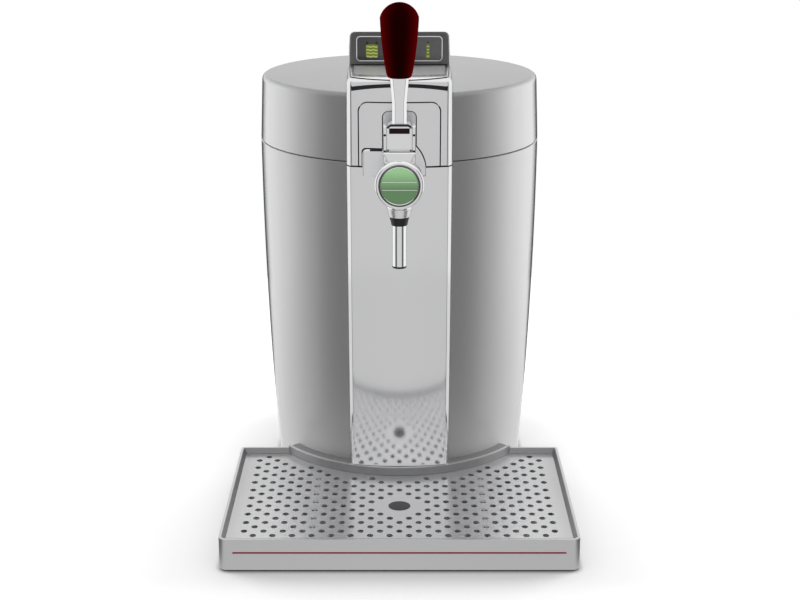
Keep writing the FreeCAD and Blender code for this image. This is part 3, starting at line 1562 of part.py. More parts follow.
def make_tray_body():
    body = new_body("tray_body")
    plan = new_sketch(body, "XY", s.tray_lift)
    tray_outline(plan, ZERO, RING_RADIUS)
    pad(body, plan, TRAY_TOP - s.tray_lift)
    for radius, place in (
        (s.tray_front_round, -s.tray_reach), (s.tray_rear_round, -s.tray_back),
    ):
        round_edges(body, radius, lambda edge, place=place: (
            is_line_along(edge, UP) and near(abs(middle(edge).x), s.tray_half_width)
            and near(middle(edge).y, place)
        ))
    basin = new_sketch(body, "XY", TRAY_TOP)
    tray_outline(basin, s.tray_wall, RING_FRONT)
    pocket(body, basin, TRAY_TOP - s.tray_lift - s.tray_floor, toward=-1)
    band = new_sketch(body, "XY", TRAY_TOP)
    outer = other_leg(RING_FRONT, s.tray_back)
    inner = other_leg(RING_RADIUS, s.tray_back)
    back = -s.tray_back
    outline(band, [(inner, back), (outer, back), (-outer, back), (-inner, back)], {
        1: (RING_FRONT, 1), 3: (RING_RADIUS, -1),
    })
    pad(body, band, s.dock_height - TRAY_TOP)
    ribs = new_sketch(body, "XY", s.tray_lift + s.tray_floor)
    for place in (-s.rib_place, s.rib_place):
        front = s.rib_inset - s.tray_reach
        rear = -(RING_FRONT + s.tray_wall)
        rectangle(ribs, (place - s.rib_thickness / 2, front), (place + s.rib_thickness / 2, rear))
    pad(body, ribs, GRILLE_UNDERSIDE - s.fit_gap - s.tray_lift - s.tray_floor)


def make_tray_feet():
    body = new_body("tray_feet")
    body.AllowCompound = True
    sketch = new_sketch(body, "XY")
    x = s.tray_half_width - s.tray_foot_inset
    for y in (s.tray_foot_inset - s.tray_reach, -(s.tray_back + s.tray_foot_inset)):
        for place in (-x, x):
            circle(sketch, (place, y), s.tray_foot_radius)
    pad(body, sketch, s.tray_lift)


def hole_centres():
    """Staggered rows of holes that keep a plain margin at every edge and round the drain."""
    pitch = s.hole_pitch.number
    margin = s.hole_margin.number + s.hole_across.number / 2
    side = (s.tray_half_width - s.tray_wall).number - margin
    ring = RING_FRONT.number + margin
    drain = s.drain_radius.number + margin
    centres = []
    for row in range(int(s.hole_rows.number)):
        y = row * pitch - FIRST_ROW.number
        columns = int(side / pitch)
        for column in range(-columns, columns + 1):
            x = column * pitch
            on_grid = (column + row) % 2 == 1
            clear_of_ring = math.hypot(x, y) > ring
            clear_of_drain = math.hypot(x, y + DRAIN_REACH.number) > drain
            if on_grid and clear_of_ring and clear_of_drain:
                centres.append(Vector(x, y, 0))
    return centres


def hexagon_prism(centre, across, height):
    corner = across / 2
    points = [
        centre + Rotation(UP, 60 * turn).multVec(Vector(corner, 0, 0))
        for turn in range(7)
    ]
    return Part.Face(Part.makePolygon(points)).extrude(Vector(0, 0, height))


def grille_face():
    inset = (s.tray_wall + s.grille_fit).number
    half = s.tray_half_width.number - inset
    front = inset - s.tray_reach.number
    back = -(s.tray_back.number + inset)
    ring = (RING_FRONT + s.grille_fit).number
    hollow = math.sqrt(ring**2 - back**2)
    corners = [(-hollow, back), (-half, back), (-half, front), (half, front), (half, back), (hollow, back)]
    points = [Vector(x, y, 0) for x, y in corners]
    edges = [Part.LineSegment(a, b).toShape() for a, b in zip(points, points[1:])]
    edges.append(Part.Arc(points[-1], Vector(0, -ring, 0), points[0]).toShape())
    return Part.Face(Part.Wire(edges))


def make_drip_grille():
    """Perforated plate; its staggered field of holes follows the hollow back of the tray."""
    thickness = s.grille_thickness.number
    plate = grille_face().extrude(Vector(0, 0, thickness))
    holes = [
        hexagon_prism(centre - Vector(0, 0, thickness), s.hole_across.number, thickness * 3)
        for centre in hole_centres()
    ]
    drain_place = Vector(0, -DRAIN_REACH.number, thickness - s.drain_seat.number)
    seat = Part.makeCylinder(s.drain_radius.number + s.running_gap.number, thickness, drain_place)
    grille = doc.addObject("Part::Feature", "drip_grille")
    grille.Label = "drip_grille"
    grille.Shape = plate.cut(Part.Compound(holes)).cut(seat)
    bind(grille, ".Placement.Base.y", DRUM_SHIFT)
    bind(grille, ".Placement.Base.z", GRILLE_UNDERSIDE)
    nodes.append(grille)


def make_drain_disc():
    body = new_body("drain_disc")
    sketch = new_sketch(body, "XY", GRILLE_TOP - s.drain_seat + s.running_gap)
    circle(sketch, (ZERO, -DRAIN_REACH), s.drain_radius)
    pad(body, sketch, s.drain_thickness)


# ---------------------------------------------------------------- build and export

MAKERS = (
    make_base_pan, make_base_feet, make_dock_ledge, make_drum_shell, make_rear_panel,
    make_power_inlet, make_rocker_frame, make_power_rocker, make_deck_ring, make_keg_liner,
    make_foam_jacket, make_cold_plate, make_peltier_module, make_heat_sink, make_fan_frame,
    make_fan_rotor, make_power_supply, make_control_board, make_front_column, make_hinge_bracket,
    make_hinge_leaf, make_hinge_pin, make_tap_base, make_tap_body, make_spout_cone,
    make_spout_collar, make_spout_tube, make_badge_ring, make_badge_disc, make_lever_pin,
    make_ear_pins, make_lever_arm, make_knob_stud, make_lever_knob, make_pinch_plunger,
    make_lid_shell, make_lid_liner, make_lid_foam, make_lid_gasket, make_hood, make_shelf_plate,
    make_head_panel, make_door_panel, make_display_pod, make_display_bezel, make_display_trim,
    make_display_glass, make_display_lcd, make_tray_body, make_tray_feet, make_drip_grille,
    make_drain_disc,
)


def check_document():
    for item in doc.Objects:
        if "Invalid" in item.State or "Error" in item.State:
            raise RuntimeError(f"{item.Name} is {item.State}")
    for node in nodes:
        if node.Shape.isNull() or not node.Shape.isValid():
            raise RuntimeError(f"{node.Label} has no valid shape")


for maker in MAKERS:
    maker()
doc.recompute()
check_document()
os.makedirs("parts", exist_ok=True)
for node in nodes:
    node.Shape.exportStep(f"parts/{node.Label}.step")
    print(f"{node.Label}: {node.Shape.Volume / 1000:.1f} cm3, {len(node.Shape.Solids)} solids")
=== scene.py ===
import math

import bmesh
import bpy
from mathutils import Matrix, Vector
from mathutils.geometry import delaunay_2d_cdt


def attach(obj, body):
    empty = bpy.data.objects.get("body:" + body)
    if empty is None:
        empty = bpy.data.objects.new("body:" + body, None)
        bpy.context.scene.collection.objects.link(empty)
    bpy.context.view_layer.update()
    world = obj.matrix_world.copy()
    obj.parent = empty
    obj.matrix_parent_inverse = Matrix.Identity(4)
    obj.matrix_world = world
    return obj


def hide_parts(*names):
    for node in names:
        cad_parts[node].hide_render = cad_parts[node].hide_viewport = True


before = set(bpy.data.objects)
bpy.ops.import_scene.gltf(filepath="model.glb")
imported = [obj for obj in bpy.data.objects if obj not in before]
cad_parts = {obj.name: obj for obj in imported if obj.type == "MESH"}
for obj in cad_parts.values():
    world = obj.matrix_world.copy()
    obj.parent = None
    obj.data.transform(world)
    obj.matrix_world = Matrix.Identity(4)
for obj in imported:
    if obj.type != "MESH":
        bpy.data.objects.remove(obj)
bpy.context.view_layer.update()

# The looks of the mini keg beer dispenser, built round the solids of its pack. Shapes are drawn in
# millimetres about the drum's axis, which stands SHIFT behind the row's origin. The front is -Y.
SHIFT = 71.75

# The drum's side is an arc of DRUM_ARC between its foot and the lid's seam.
DRUM_FOOT = 3.0
DRUM_TOP = 346.0
FOOT_RADIUS = 130.7
TOP_RADIUS = 142.5
DRUM_ARC = 4800.0

# Column, hood, head panel and door share one bowed front.
FRONT = 160.0
BOW = 200.0
BROW = 45.7
FLARE = 51
FLARE_BACK = -134
FRONT_STEPS = 48
COLUMN_FOOT = 35.8
LID_FOOT = 347
LID_TOP = 411.8

# The nose of the lid in front of the display.
NOSE_BACK = -79.7
PLATE_BACK = -81.6
PLATE_BOW = 118
FIELD_BOW = 95
DISPLAY_FACE = -79.9

# The tap.
BADGE_Z = 344.0
HOSE_Z = 347
SPOUT_Y = -212.0
PIVOT_Y = -200.0
PIVOT_Z = 370.0
EAR_PIN_Z = 385
EAR_NEAR = 11.5
EAR_FAR = 14.5

# The drip tray, its hollow back wall and its grille.
TRAY_HALF = 165
TRAY_FRONT = -298
TRAY_BACK = -85
HOLLOW = 142.6
HOLLOW_WALL = 145.1
DRAIN_Y = -215.7
DRAIN_RADIUS = 10.5
GRILLE_TOP = 27
GRILLE_FOOT = 25.5
HOLE_RADIUS = 3.25
HOLE_STEP = 9.0


# ---- outlines

def arc(centre, radius, start, end, steps):
    """Points on a circle from one angle to another, in degrees, both ends included."""
    turns = [math.radians(start + (end - start) * i / steps) for i in range(steps + 1)]
    return [(centre[0] + radius * math.cos(t), centre[1] + radius * math.sin(t)) for t in turns]


def ring(centre, radius, steps):
    return arc(centre, radius, 0, 360, steps)[:-1]


def fillet(loop, radii, steps):
    """A closed outline with its corners rounded, all by one radius or each by the one that radii names."""
    out = []
    for i, corner in enumerate(loop):
        radius = radii.get(i, 0) if isinstance(radii, dict) else radii
        if not radius:
            out.append(corner)
            continue
        here = Vector(corner)
        back = (Vector(loop[i - 1]) - here).normalized()
        ahead = (Vector(loop[(i + 1) % len(loop)]) - here).normalized()
        half = math.acos(max(-1, min(1, back.dot(ahead)))) / 2
        centre = here + (back + ahead).normalized() * (radius / math.sin(half))
        first = here + back * (radius / math.tan(half)) - centre
        last = here + ahead * (radius / math.tan(half)) - centre
        a = math.atan2(first.y, first.x)
        b = math.atan2(last.y, last.x)
        b = a + (b - a + math.pi) % (2 * math.pi) - math.pi
        out += arc(centre, radius, math.degrees(a), math.degrees(b), steps)
    return out


def rectangle(x0, y0, x1, y1, radius=0, steps=6):
    corners = [(x0, y0), (x1, y0), (x1, y1), (x0, y1)]
    return fillet(corners, radius, steps) if radius else corners


def arc_centre(start, end, radius):
    """Centre of the circle through two points, on the left of the way from one to the other."""
    start, end = Vector(start), Vector(end)
    chord = end - start
    rise = math.sqrt(radius ** 2 - (chord.length / 2) ** 2)
    return (start + end) / 2 + Vector((-chord.y, chord.x)).normalized() * rise


def arc_between(start, end, radius, steps):
    """Points from start to end on that circle, both included."""
    centre = arc_centre(start, end, radius)
    a, b = (math.degrees(math.atan2(y - centre.y, x - centre.x)) for x, y in (start, end))
    b = a + (b - a + 180) % 360 - 180
    return arc(centre, radius, a, b, steps)


def sag(radius, half_chord):
    """How far a circle falls behind its foremost point at half_chord to the side."""
    return radius - math.sqrt(radius * radius - half_chord * half_chord)


def bowed(half, reach, corner, back, bow, fine=8):
    """A plan with a bowed front and round corners, from its left rear point to its right one."""
    centre = bow - reach
    across = half - corner
    down = math.sqrt((bow - corner) ** 2 - across ** 2)
    lean = math.degrees(math.atan2(across, down))
    left = arc((-across, centre - down), corner, 180, 270 - lean, fine)
    front = arc((0, centre), bow, 270 - lean, 270 + lean, FRONT_STEPS)[1:-1]
    right = arc((across, centre - down), corner, 270 + lean, 360, fine)
    return [(-half, back), *left, *front, *right, (half, back)]


# The slanting edge beside the bowed front: across from its outer side, back from the brow.
EDGE = ((0, 7.5), (0.3, 5.9), (0.9, 4.5), (1.6, 3.2), (2.3, 2.0), (3.1, 1.0), (3.7, 0.3), (4.2, 0.0))


def edged(reach, back):
    """Plan of the column and hood: bowed front, narrow slanting edges, sides that flare backwards."""
    brow = sag(BOW, BROW) - reach
    left = [(u - BROW - EDGE[-1][0], brow + v) for u, v in EDGE]
    lean = math.degrees(math.asin(BROW / BOW))
    front = arc((0, BOW - reach), BOW, 270 - lean, 270 + lean, FRONT_STEPS)[1:-1]
    right = [(-x, y) for x, y in reversed(left)]
    return [(-FLARE, back), (-FLARE, FLARE_BACK), *left, *front, *right, (FLARE, FLARE_BACK), (FLARE, back)]


def drum_radius(z):
    """Outer radius of the tapered drum."""
    centre = arc_centre((FOOT_RADIUS, DRUM_FOOT), (TOP_RADIUS, DRUM_TOP), DRUM_ARC)
    return centre.x + math.sqrt(DRUM_ARC ** 2 - (z - centre.y) ** 2)


def column_reach(z):
    """How far the bowed, leaning column stands out in front of the drum's axis."""
    return FRONT - (DRUM_TOP - z) ** 2 / 5340.0


# ---- solids

def on_xy(u, v, w):
    return (u, v, w)


def on_xz(u, v, w):
    return (u, w, v)


def on_yz(u, v, w):
    return (w, u, v)


def tidy(bm):
    bmesh.ops.remove_doubles(bm, verts=bm.verts, dist=1e-4)
    bmesh.ops.recalc_face_normals(bm, faces=bm.faces)
    return bm


def loft(loops, caps=True):
    """Closed solid through closed outlines that have the same number of points."""
    bm = bmesh.new()
    rows = [[bm.verts.new(point) for point in loop] for loop in loops]
    count = len(rows[0])
    for low, high in zip(rows, rows[1:]):
        for i in range(count):
            j = (i + 1) % count
            bm.faces.new((low[i], low[j], high[j], high[i]))
    if caps:
        bm.faces.new(rows[0])
        bm.faces.new(rows[-1])
    return tidy(bm)


def prism(outline, low, high, place=on_xy):
    return loft([[place(u, v, w) for u, v in outline] for w in (low, high)])


def lathe(profile, steps, place=None, start=0.0, sweep=360.0):
    """Closed outline of (radius, height) points turned about an axis, at first the drum's own."""
    place = place or (lambda x, y, h: (x, y, h))
    whole = sweep == 360.0
    loops = []
    for i in range(steps + (0 if whole else 1)):
        turn = math.radians(start + sweep * i / steps)
        loops.append([place(r * math.cos(turn), r * math.sin(turn), h) for r, h in profile])
    if whole:
        loops.append(loops[0])
    return loft(loops, caps=not whole)


def about_y(z=BADGE_Z):
    """Place for a lathe whose axis runs forwards, its height counted along -Y."""
    return lambda a, b, h: (a, -h, z + b)


def about_x(z):
    """Place for a lathe whose axis runs across, level with the lever's pin."""
    return lambda a, b, h: (h, PIVOT_Y + a, z + b)


def about_z(y=SPOUT_Y):
    """Place for a lathe whose axis is upright and in the middle."""
    return lambda a, b, h: (a, y + b, h)


def as_object(bm, name):
    mesh = bpy.data.meshes.new(name)
    bm.to_mesh(mesh)
    bm.free()
    thing = bpy.data.objects.new(name, mesh)
    bpy.context.scene.collection.objects.link(thing)
    return thing


def baked(thing):
    """The object's mesh with its modifiers applied."""
    depsgraph = bpy.context.evaluated_depsgraph_get()
    return bpy.data.meshes.new_from_object(thing.evaluated_get(depsgraph))


def combine(bm, tool, operation):
    base = as_object(bm, "base")
    other = as_object(tool, "tool")
    step = base.modifiers.new("step", "BOOLEAN")
    step.operation = operation
    step.solver = "EXACT"
    step.object = other
    result = bmesh.new()
    result.from_mesh(baked(base))
    for thing in (base, other):
        bpy.data.objects.remove(thing)
    return tidy(result)


def cut(bm, *tools):
    for tool in tools:
        bm = combine(bm, tool, "DIFFERENCE")
    return bm


def join(bm, *tools):
    for tool in tools:
        bm = combine(bm, tool, "UNION")
    return bm


def gather(*parts):
    """Several closed solids in one mesh, not joined."""
    whole = bmesh.new()
    for part in parts:
        mesh = bpy.data.meshes.new("part")
        part.to_mesh(mesh)
        part.free()
        whole.from_mesh(mesh)
    return whole


def box(x0, x1, y0, y1, z0, z1):
    return prism(rectangle(x0, y0, x1, y1), z0, z1)


def pin_way(radius, half, z=PIVOT_Z, steps=24):
    """Round bar across the tap, as wide as half to each side."""
    return lathe([(0, -half), (radius, -half), (radius, half), (0, half)], steps, about_x(z))


def both_sides(near, far):
    """Low and high X of a thing on the left and of its twin on the right."""
    return [sorted((near * side, far * side)) for side in (-1, 1)]


def soften(bm, width, segments=2, angle=35.0, where=None):
    """Rounds the sharp edges, or those of them whose middle passes the test."""
    limit = math.radians(angle)
    edges = []
    for edge in bm.edges:
        if len(edge.link_faces) != 2 or edge.calc_face_angle(0.0) < limit:
            continue
        middle = (edge.verts[0].co + edge.verts[1].co) / 2
        if where is None or where(middle):
            edges.append(edge)
    bmesh.ops.bevel(
        bm, geom=edges, offset=width, offset_type="OFFSET", segments=segments, profile=0.5,
        affect="EDGES", clamp_overlap=True,
    )
    return bm


def piece(name, bm, body, material, replaces=(), smooth=True):
    """Puts a solid into the row frame in metres, shades it and lets it ride on its body."""
    for vert in bm.verts:
        vert.co = Vector((vert.co.x, vert.co.y + SHIFT, vert.co.z)) / 1000.0
    thing = as_object(bm, name)
    if smooth:
        mesh = thing.data
        mesh.polygons.foreach_set("use_smooth", [True] * len(mesh.polygons))
        mesh.set_sharp_from_angle(angle=math.radians(35.0))
        weigh = thing.modifiers.new("weigh", "WEIGHTED_NORMAL")
        weigh.keep_sharp = True
        weigh.weight = 90
        thing.data = baked(thing)
        thing.modifiers.clear()
    thing.data.materials.clear()
    thing.data.materials.append(material)
    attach(thing, body)
    if replaces:
        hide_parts(*replaces)
    return thing


# ---- materials

def node(tree, kind, *inputs, named=None, **settings):
    """A shader node whose inputs, in order or by name, are other nodes' sockets or plain values."""
    made = tree.nodes.new(kind)
    for name, value in settings.items():
        setattr(made, name, value)
    for slot, value in [*enumerate(inputs), *(named or {}).items()]:
        if isinstance(value, bpy.types.NodeSocket):
            tree.links.new(value, made.inputs[slot])
        elif value is not None:
            made.inputs[slot].default_value = value
    return made


def surface(name, colour, rough, metal=0.0, spread=0.06, tone=0.04, grain=(1, 1, 1), scale=400.0, bump=0.05,
            depth=0.0001, **sockets):
    """A finish whose tone, gloss and fine relief vary with a grain of its own scale."""
    material = bpy.data.materials.new(name)
    material.use_nodes = True
    tree = material.node_tree
    shader = tree.nodes["Principled BSDF"]
    shader.inputs["Metallic"].default_value = metal
    for socket, value in sockets.items():
        shader.inputs[socket.replace("_", " ")].default_value = value
    place = node(tree, "ShaderNodeTexCoord")
    stretch = node(tree, "ShaderNodeMapping", place.outputs["Object"], named={"Scale": grain})
    around = {"Vector": stretch.outputs["Vector"], "Scale": scale, "Detail": 3.0}
    noise = node(tree, "ShaderNodeTexNoise", named=around).outputs["Fac"]
    gloss = node(tree, "ShaderNodeMapRange", noise, 0.3, 0.7, max(0.0, rough - spread), rough + spread)
    tree.links.new(gloss.outputs["Result"], shader.inputs["Roughness"])
    low, high = ((*[min(1, c * (1 + share)) for c in colour], 1) for share in (-tone, tone))
    blend = node(tree, "ShaderNodeMix", data_type="RGBA", named={"Factor": noise, "A": low, "B": high})
    tree.links.new(blend.outputs["Result"], shader.inputs["Base Color"])
    if bump:
        relief = node(tree, "ShaderNodeBump", named={"Strength": bump, "Distance": depth, "Height": noise})
        tree.links.new(relief.outputs["Normal"], shader.inputs["Normal"])
    return material


EVEN = {"spread": 0.03, "tone": 0.02}
FINE = {**EVEN, "scale": 900, "depth": 0.00003}
BRUSHED = {**EVEN, "grain": (1, 1, 0.05), "scale": 1400, "bump": 0.02, "depth": 0.00003}

# Painted, plated and bare metal.
SILVER = surface("silver_finish", (0.60, 0.60, 0.605), 0.5, metal=0.1, scale=900, tone=0.02, bump=0.03,
                 Coat_Weight=0.5, Coat_Roughness=0.1)
SKIN = surface("skin_finish", (0.80, 0.80, 0.81), 0.13, metal=1.0, **BRUSHED)
PANEL = surface("panel_finish", (0.80, 0.80, 0.81), 0.2, metal=1.0, **BRUSHED)
SATIN = surface("satin_finish", (0.90, 0.90, 0.905), 0.4, metal=0.1, spread=0.04, tone=0.02, scale=900,
                bump=0.03, depth=0.00005)
PLATE = surface("plate_finish", (0.87, 0.87, 0.88), 0.32, metal=1.0, bump=0.02, **FINE)
BRIGHT = surface("bright_finish", (0.93, 0.93, 0.94), 0.26, metal=1.0, scale=900, bump=0.01, **EVEN)
CHROME = surface("chrome_finish", (0.88, 0.88, 0.89), 0.08, metal=1.0, spread=0.02, tone=0.02, scale=150,
                 bump=0.01)
RIM = surface("rim_finish", (0.12, 0.13, 0.12), 0.2, metal=1.0, spread=0.03, scale=400, bump=0.01)
STEEL = surface("steel_finish", (0.79, 0.79, 0.80), 0.22, metal=0.7, grain=(0.05, 1, 1), scale=1600,
                bump=0.02, depth=0.00003, **EVEN)
LINER = surface("liner_finish", (0.70, 0.70, 0.71), 0.32, metal=1.0, grain=(1, 1, 8), scale=300, bump=0.06)
TRAY = surface("tray_finish", (0.76, 0.76, 0.765), 0.34, metal=0.85, scale=900, bump=0.04)
# Painted shade: a darker copy of the tray's finish, for its inward slopes and the back wall's inner face.
PAINTED_SHADE = surface("painted_shade_finish", (0.36, 0.36, 0.365), 0.4, metal=0.6, scale=900, bump=0.04)

# Plastic, rubber, foam and ceramic.
LEDGE = surface("ledge_finish", (0.30, 0.30, 0.305), 0.4, metal=0.3, scale=900, bump=0.06)
GREY = surface("grey_finish", (0.42, 0.42, 0.43), 0.45, metal=0.2, scale=1200, bump=0.12)
DARK = surface("dark_finish", (0.035, 0.035, 0.038), 0.42, scale=1200, bump=0.15)
BEZEL = surface("bezel_finish", (0.30, 0.30, 0.305), 0.32, scale=1200, bump=0.05, Coat_Weight=0.3)
RUBBER = surface("rubber_finish", (0.02, 0.02, 0.021), 0.55, scale=900, bump=0.15)
FOAM = surface("foam_finish", (0.80, 0.72, 0.50), 0.8, tone=0.1, scale=500, bump=0.5, depth=0.0004)
CERAMIC = surface("ceramic_finish", (0.82, 0.82, 0.80), 0.4, scale=600, bump=0.05)
GREEN_BOARD = surface("board_finish", (0.02, 0.14, 0.05), 0.4, tone=0.3, scale=120, bump=0.1)

# Handle, badge, stripe, display, and the knob's painted reflection on the yoke.
RED = surface("red_finish", (0.085, 0.0006, 0.001), 0.42, spread=0.03, tone=0.1, scale=300, bump=0.01,
              Specular_IOR_Level=0.0)
# Painted reflection: dark red standing for the knob mirrored in the yoke's up-tilted face.
KNOB_REFLECTION = surface("painted_knob_reflection_finish", (0.03, 0.002, 0.004), 0.3, spread=0.03, scale=300, bump=0.01,
               Specular_IOR_Level=0.2)
STRIPE = surface("stripe_finish", (0.32, 0.012, 0.035), 0.35, metal=1.0, scale=700, bump=0.02)
BADGE = surface("badge_finish", (0.46, 0.82, 0.42), 0.3, metal=1.0, spread=0.03, scale=300, bump=0.01)
PALE = surface("pale_finish", (0.93, 0.95, 0.91), 0.25, metal=1.0, spread=0.03, scale=300, bump=0.01)
GLASS = surface("glass_finish", (0.25, 0.25, 0.26), 0.08, spread=0.02, scale=200, bump=0.0, Coat_Weight=1.0)
ICON = surface("icon_finish", (0.17, 0.21, 0.03), 0.5, scale=500, bump=0.0,
               Emission_Color=(0.15, 0.19, 0.02, 1), Emission_Strength=0.6)
ICON_PALE = surface("icon_pale_finish", (0.50, 0.56, 0.20), 0.5, scale=500, bump=0.0,
                    Emission_Color=(0.45, 0.52, 0.16, 1), Emission_Strength=0.6)


def paint_light_ramp(material, axis, low, high, dim):
    """Paints light into a finish: dims it towards the low end of an axis, from high down to low in metres.
    """
    tree = material.node_tree
    shader = tree.nodes["Principled BSDF"]
    colour = shader.inputs["Base Color"].links[0].from_socket
    place = node(tree, "ShaderNodeTexCoord")
    split = node(tree, "ShaderNodeSeparateXYZ", place.outputs["Object"])
    share = node(tree, "ShaderNodeMapRange", split.outputs[axis], low, high, dim).outputs["Result"]
    scaled = node(tree, "ShaderNodeVectorMath", colour, operation="SCALE", named={"Scale": share})
    tree.links.new(scaled.outputs[0], shader.inputs["Base Color"])


def lacquered(material):
    """Turns a paint mirror-like where it's seen at a grazing angle, as lacquered metal is."""
    tree = material.node_tree
    shader = tree.nodes["Principled BSDF"]
    facing = node(tree, "ShaderNodeLayerWeight").outputs["Facing"]
    share = node(tree, "ShaderNodeMapRange", facing, 0.74, 0.92).outputs["Result"]
    metal = node(tree, "ShaderNodeMapRange", share, None, None, 0.1)
    tree.links.new(metal.outputs["Result"], shader.inputs["Metallic"])
    rough = shader.inputs["Roughness"].links[0].from_socket
    gloss = node(tree, "ShaderNodeMix", named={"Factor": share, "A": rough, "B": 0.08})
    tree.links.new(gloss.outputs["Result"], shader.inputs["Roughness"])


lacquered(SILVER)
# The badge is painted darker towards its bottom: painted shade.
paint_light_ramp(BADGE, "Z", 0.341, 0.357, 0.42)
# The display glass is painted lighter towards its right: a painted reflection.
paint_light_ramp(GLASS, "X", -0.035, 0.035, 0.12)


# ---- drum and column

def make_drum():
    count, edge, wall = 48, 0.6, 2.5
    levels = [DRUM_FOOT + (DRUM_TOP - DRUM_FOOT) * i / count for i in range(count + 1)]
    outer = [(drum_radius(z), z) for z in levels]
    outer[0] = (outer[0][0] - edge, DRUM_FOOT)
    outer.insert(1, (outer[1][0] - 0.15, DRUM_FOOT + edge))
    outer[-1] = (TOP_RADIUS, DRUM_TOP - edge)
    outer.append((TOP_RADIUS - edge, DRUM_TOP))
    inner = [(r - wall, z) for r, z in reversed(outer[2:-1])]
    shell = lathe([*outer, (TOP_RADIUS - wall, DRUM_TOP), *inner, (FOOT_RADIUS - wall, DRUM_FOOT)], 192)
    window = prism(rectangle(-46, 10, 46, 57, 4.5), 100, 160, on_xz)
    piece("drum_skin", cut(shell, window), "machine", SILVER, ["drum_shell"])


def make_dock():
    top = 35.5
    outline = [(130.9, DRUM_FOOT), (142, DRUM_FOOT), *arc((140.5, top - 1.5), 1.5, 0, 90, 5)]
    ledge = lathe([*outline, (drum_radius(top) - 0.2, top)], 72, start=218, sweep=104)
    piece("dock_skin", ledge, "machine", LEDGE, ["dock_ledge"])


def make_column():
    """Bowed bright skin, closed against the drum, with a notch for the tap plate at its top."""
    count, clear = 40, 0.05
    loops = []
    for k in range(count + 1):
        z = COLUMN_FOOT + (DRUM_TOP - COLUMN_FOOT) * k / count
        wall = drum_radius(z) + clear
        front = edged(column_reach(z), -math.sqrt(wall * wall - FLARE * FLARE))
        front[1] = (-50.6, (front[0][1] + front[2][1]) / 2)
        front[-2] = (50.6, front[1][1])
        turn = math.degrees(math.asin(FLARE / wall))
        rear = arc((0, 0), wall, 270 + turn, 270 - turn, 20)[1:-1]
        loops.append([(x, y, z) for x, y in front + rear])
    notch = box(-34.65, 24.65, -170, -133.2, 338, 350)
    body = cut(loft(loops), notch)
    soften(body, 0.6, where=lambda m: m.z > 337.5 and m.y < FLARE_BACK)
    soften(body, 0.8, where=lambda m: m.z < 36.5 and m.y < FLARE_BACK)
    piece("column_skin", body, "machine", SKIN, ["front_column"])


# ---- lid, hood and door

def door_way(front, back):
    """What leaves room behind the door, through the lid's wall and the hood."""
    return box(-39, 39, front, back, 340, 402)


def make_lid():
    outside = [(0, 411.5), *reversed(arc((135, 406.5), 5, 0, 90, 8)), (TOP_RADIUS, LID_FOOT + 0.6)]
    outline = [*outside, (142.0, LID_FOOT), (140, LID_FOOT), (137.5, 409), (0, 409)]
    shell = cut(lathe(outline, 192), door_way(-175, -80))
    piece("lid_skin", shell, "lid", SILVER, ["lid_shell"])


def seam_height(x):
    """Height of the seam between the lid's nose and the bright plate, lowest in the middle."""
    return 427.3 + 1.7 * min(1.0, abs(x) / 46) ** 2


def rolled(starts, ends):
    """Rows of points that roll over a quarter turn from upright at the starts to level at the ends."""
    steps = 8
    rows = []
    for k in range(steps + 1):
        turn = math.radians(90 * k / steps)
        share = 1 - math.cos(turn)
        rows.append([
            (x + (u - x) * share, y + (v - y) * share, low + (high - low) * math.sin(turn))
            for (x, y, low), (u, v, high) in zip(starts, ends)
        ])
    return rows


def arched(half, crown, radius):
    """Points of an arched top edge, from its right end to its left one."""
    across = [half - 2 * half * i / 24 for i in range(25)]
    return [(x, crown - sag(radius, abs(x))) for x in across]


def make_hood():
    """Frame round the door; its top rolls back to the seam of the bright plate."""
    plan = edged(FRONT, NOSE_BACK)
    seat = bowed(45.6, 159.3, 3.5, NOSE_BACK, PLATE_BOW, fine=7)
    seat = [(-48.6, NOSE_BACK), (-47.0, -128), *seat[1:-1], (47.0, -128), (48.6, NOSE_BACK)]
    starts = [(x * 0.987, y, 425.0 - sag(300, min(abs(x), 46))) for x, y in plan]
    ends = [(u, v, seam_height(u)) for u, v in seat]
    loops = [[(x, y, LID_FOOT) for x, y in plan], *rolled(starts, ends)]
    loops.append([(x, y, seam_height(x) - 0.4) for x, y in seat])
    block = loft(loops)
    outline = fillet([(-45.0, 340), (45.0, 340), *arched(45.0, 424.6, 300)], {2: 1.0, 26: 1.0}, 4)
    recess = prism(outline, -180, -150, on_xz)
    lid = lathe([(0, 340), (142.9, 340), (142.8, LID_FOOT), (140.3, LID_TOP), (0, LID_TOP)], 192)
    block = cut(block, lid, recess, door_way(-151, -60))
    soften(block, 0.35, where=lambda m: m.y < -149 and m.z < 426)
    piece("hood_frame", block, "lid", SKIN, ["hood"])


def splayed(half, reach, corner, back, bow, rear_half):
    """A bowed plan whose sides run out to rear_half at the back."""
    plan = bowed(half, reach, corner, back, bow)
    plan[0], plan[-1] = (-rear_half, back), (rear_half, back)
    return plan


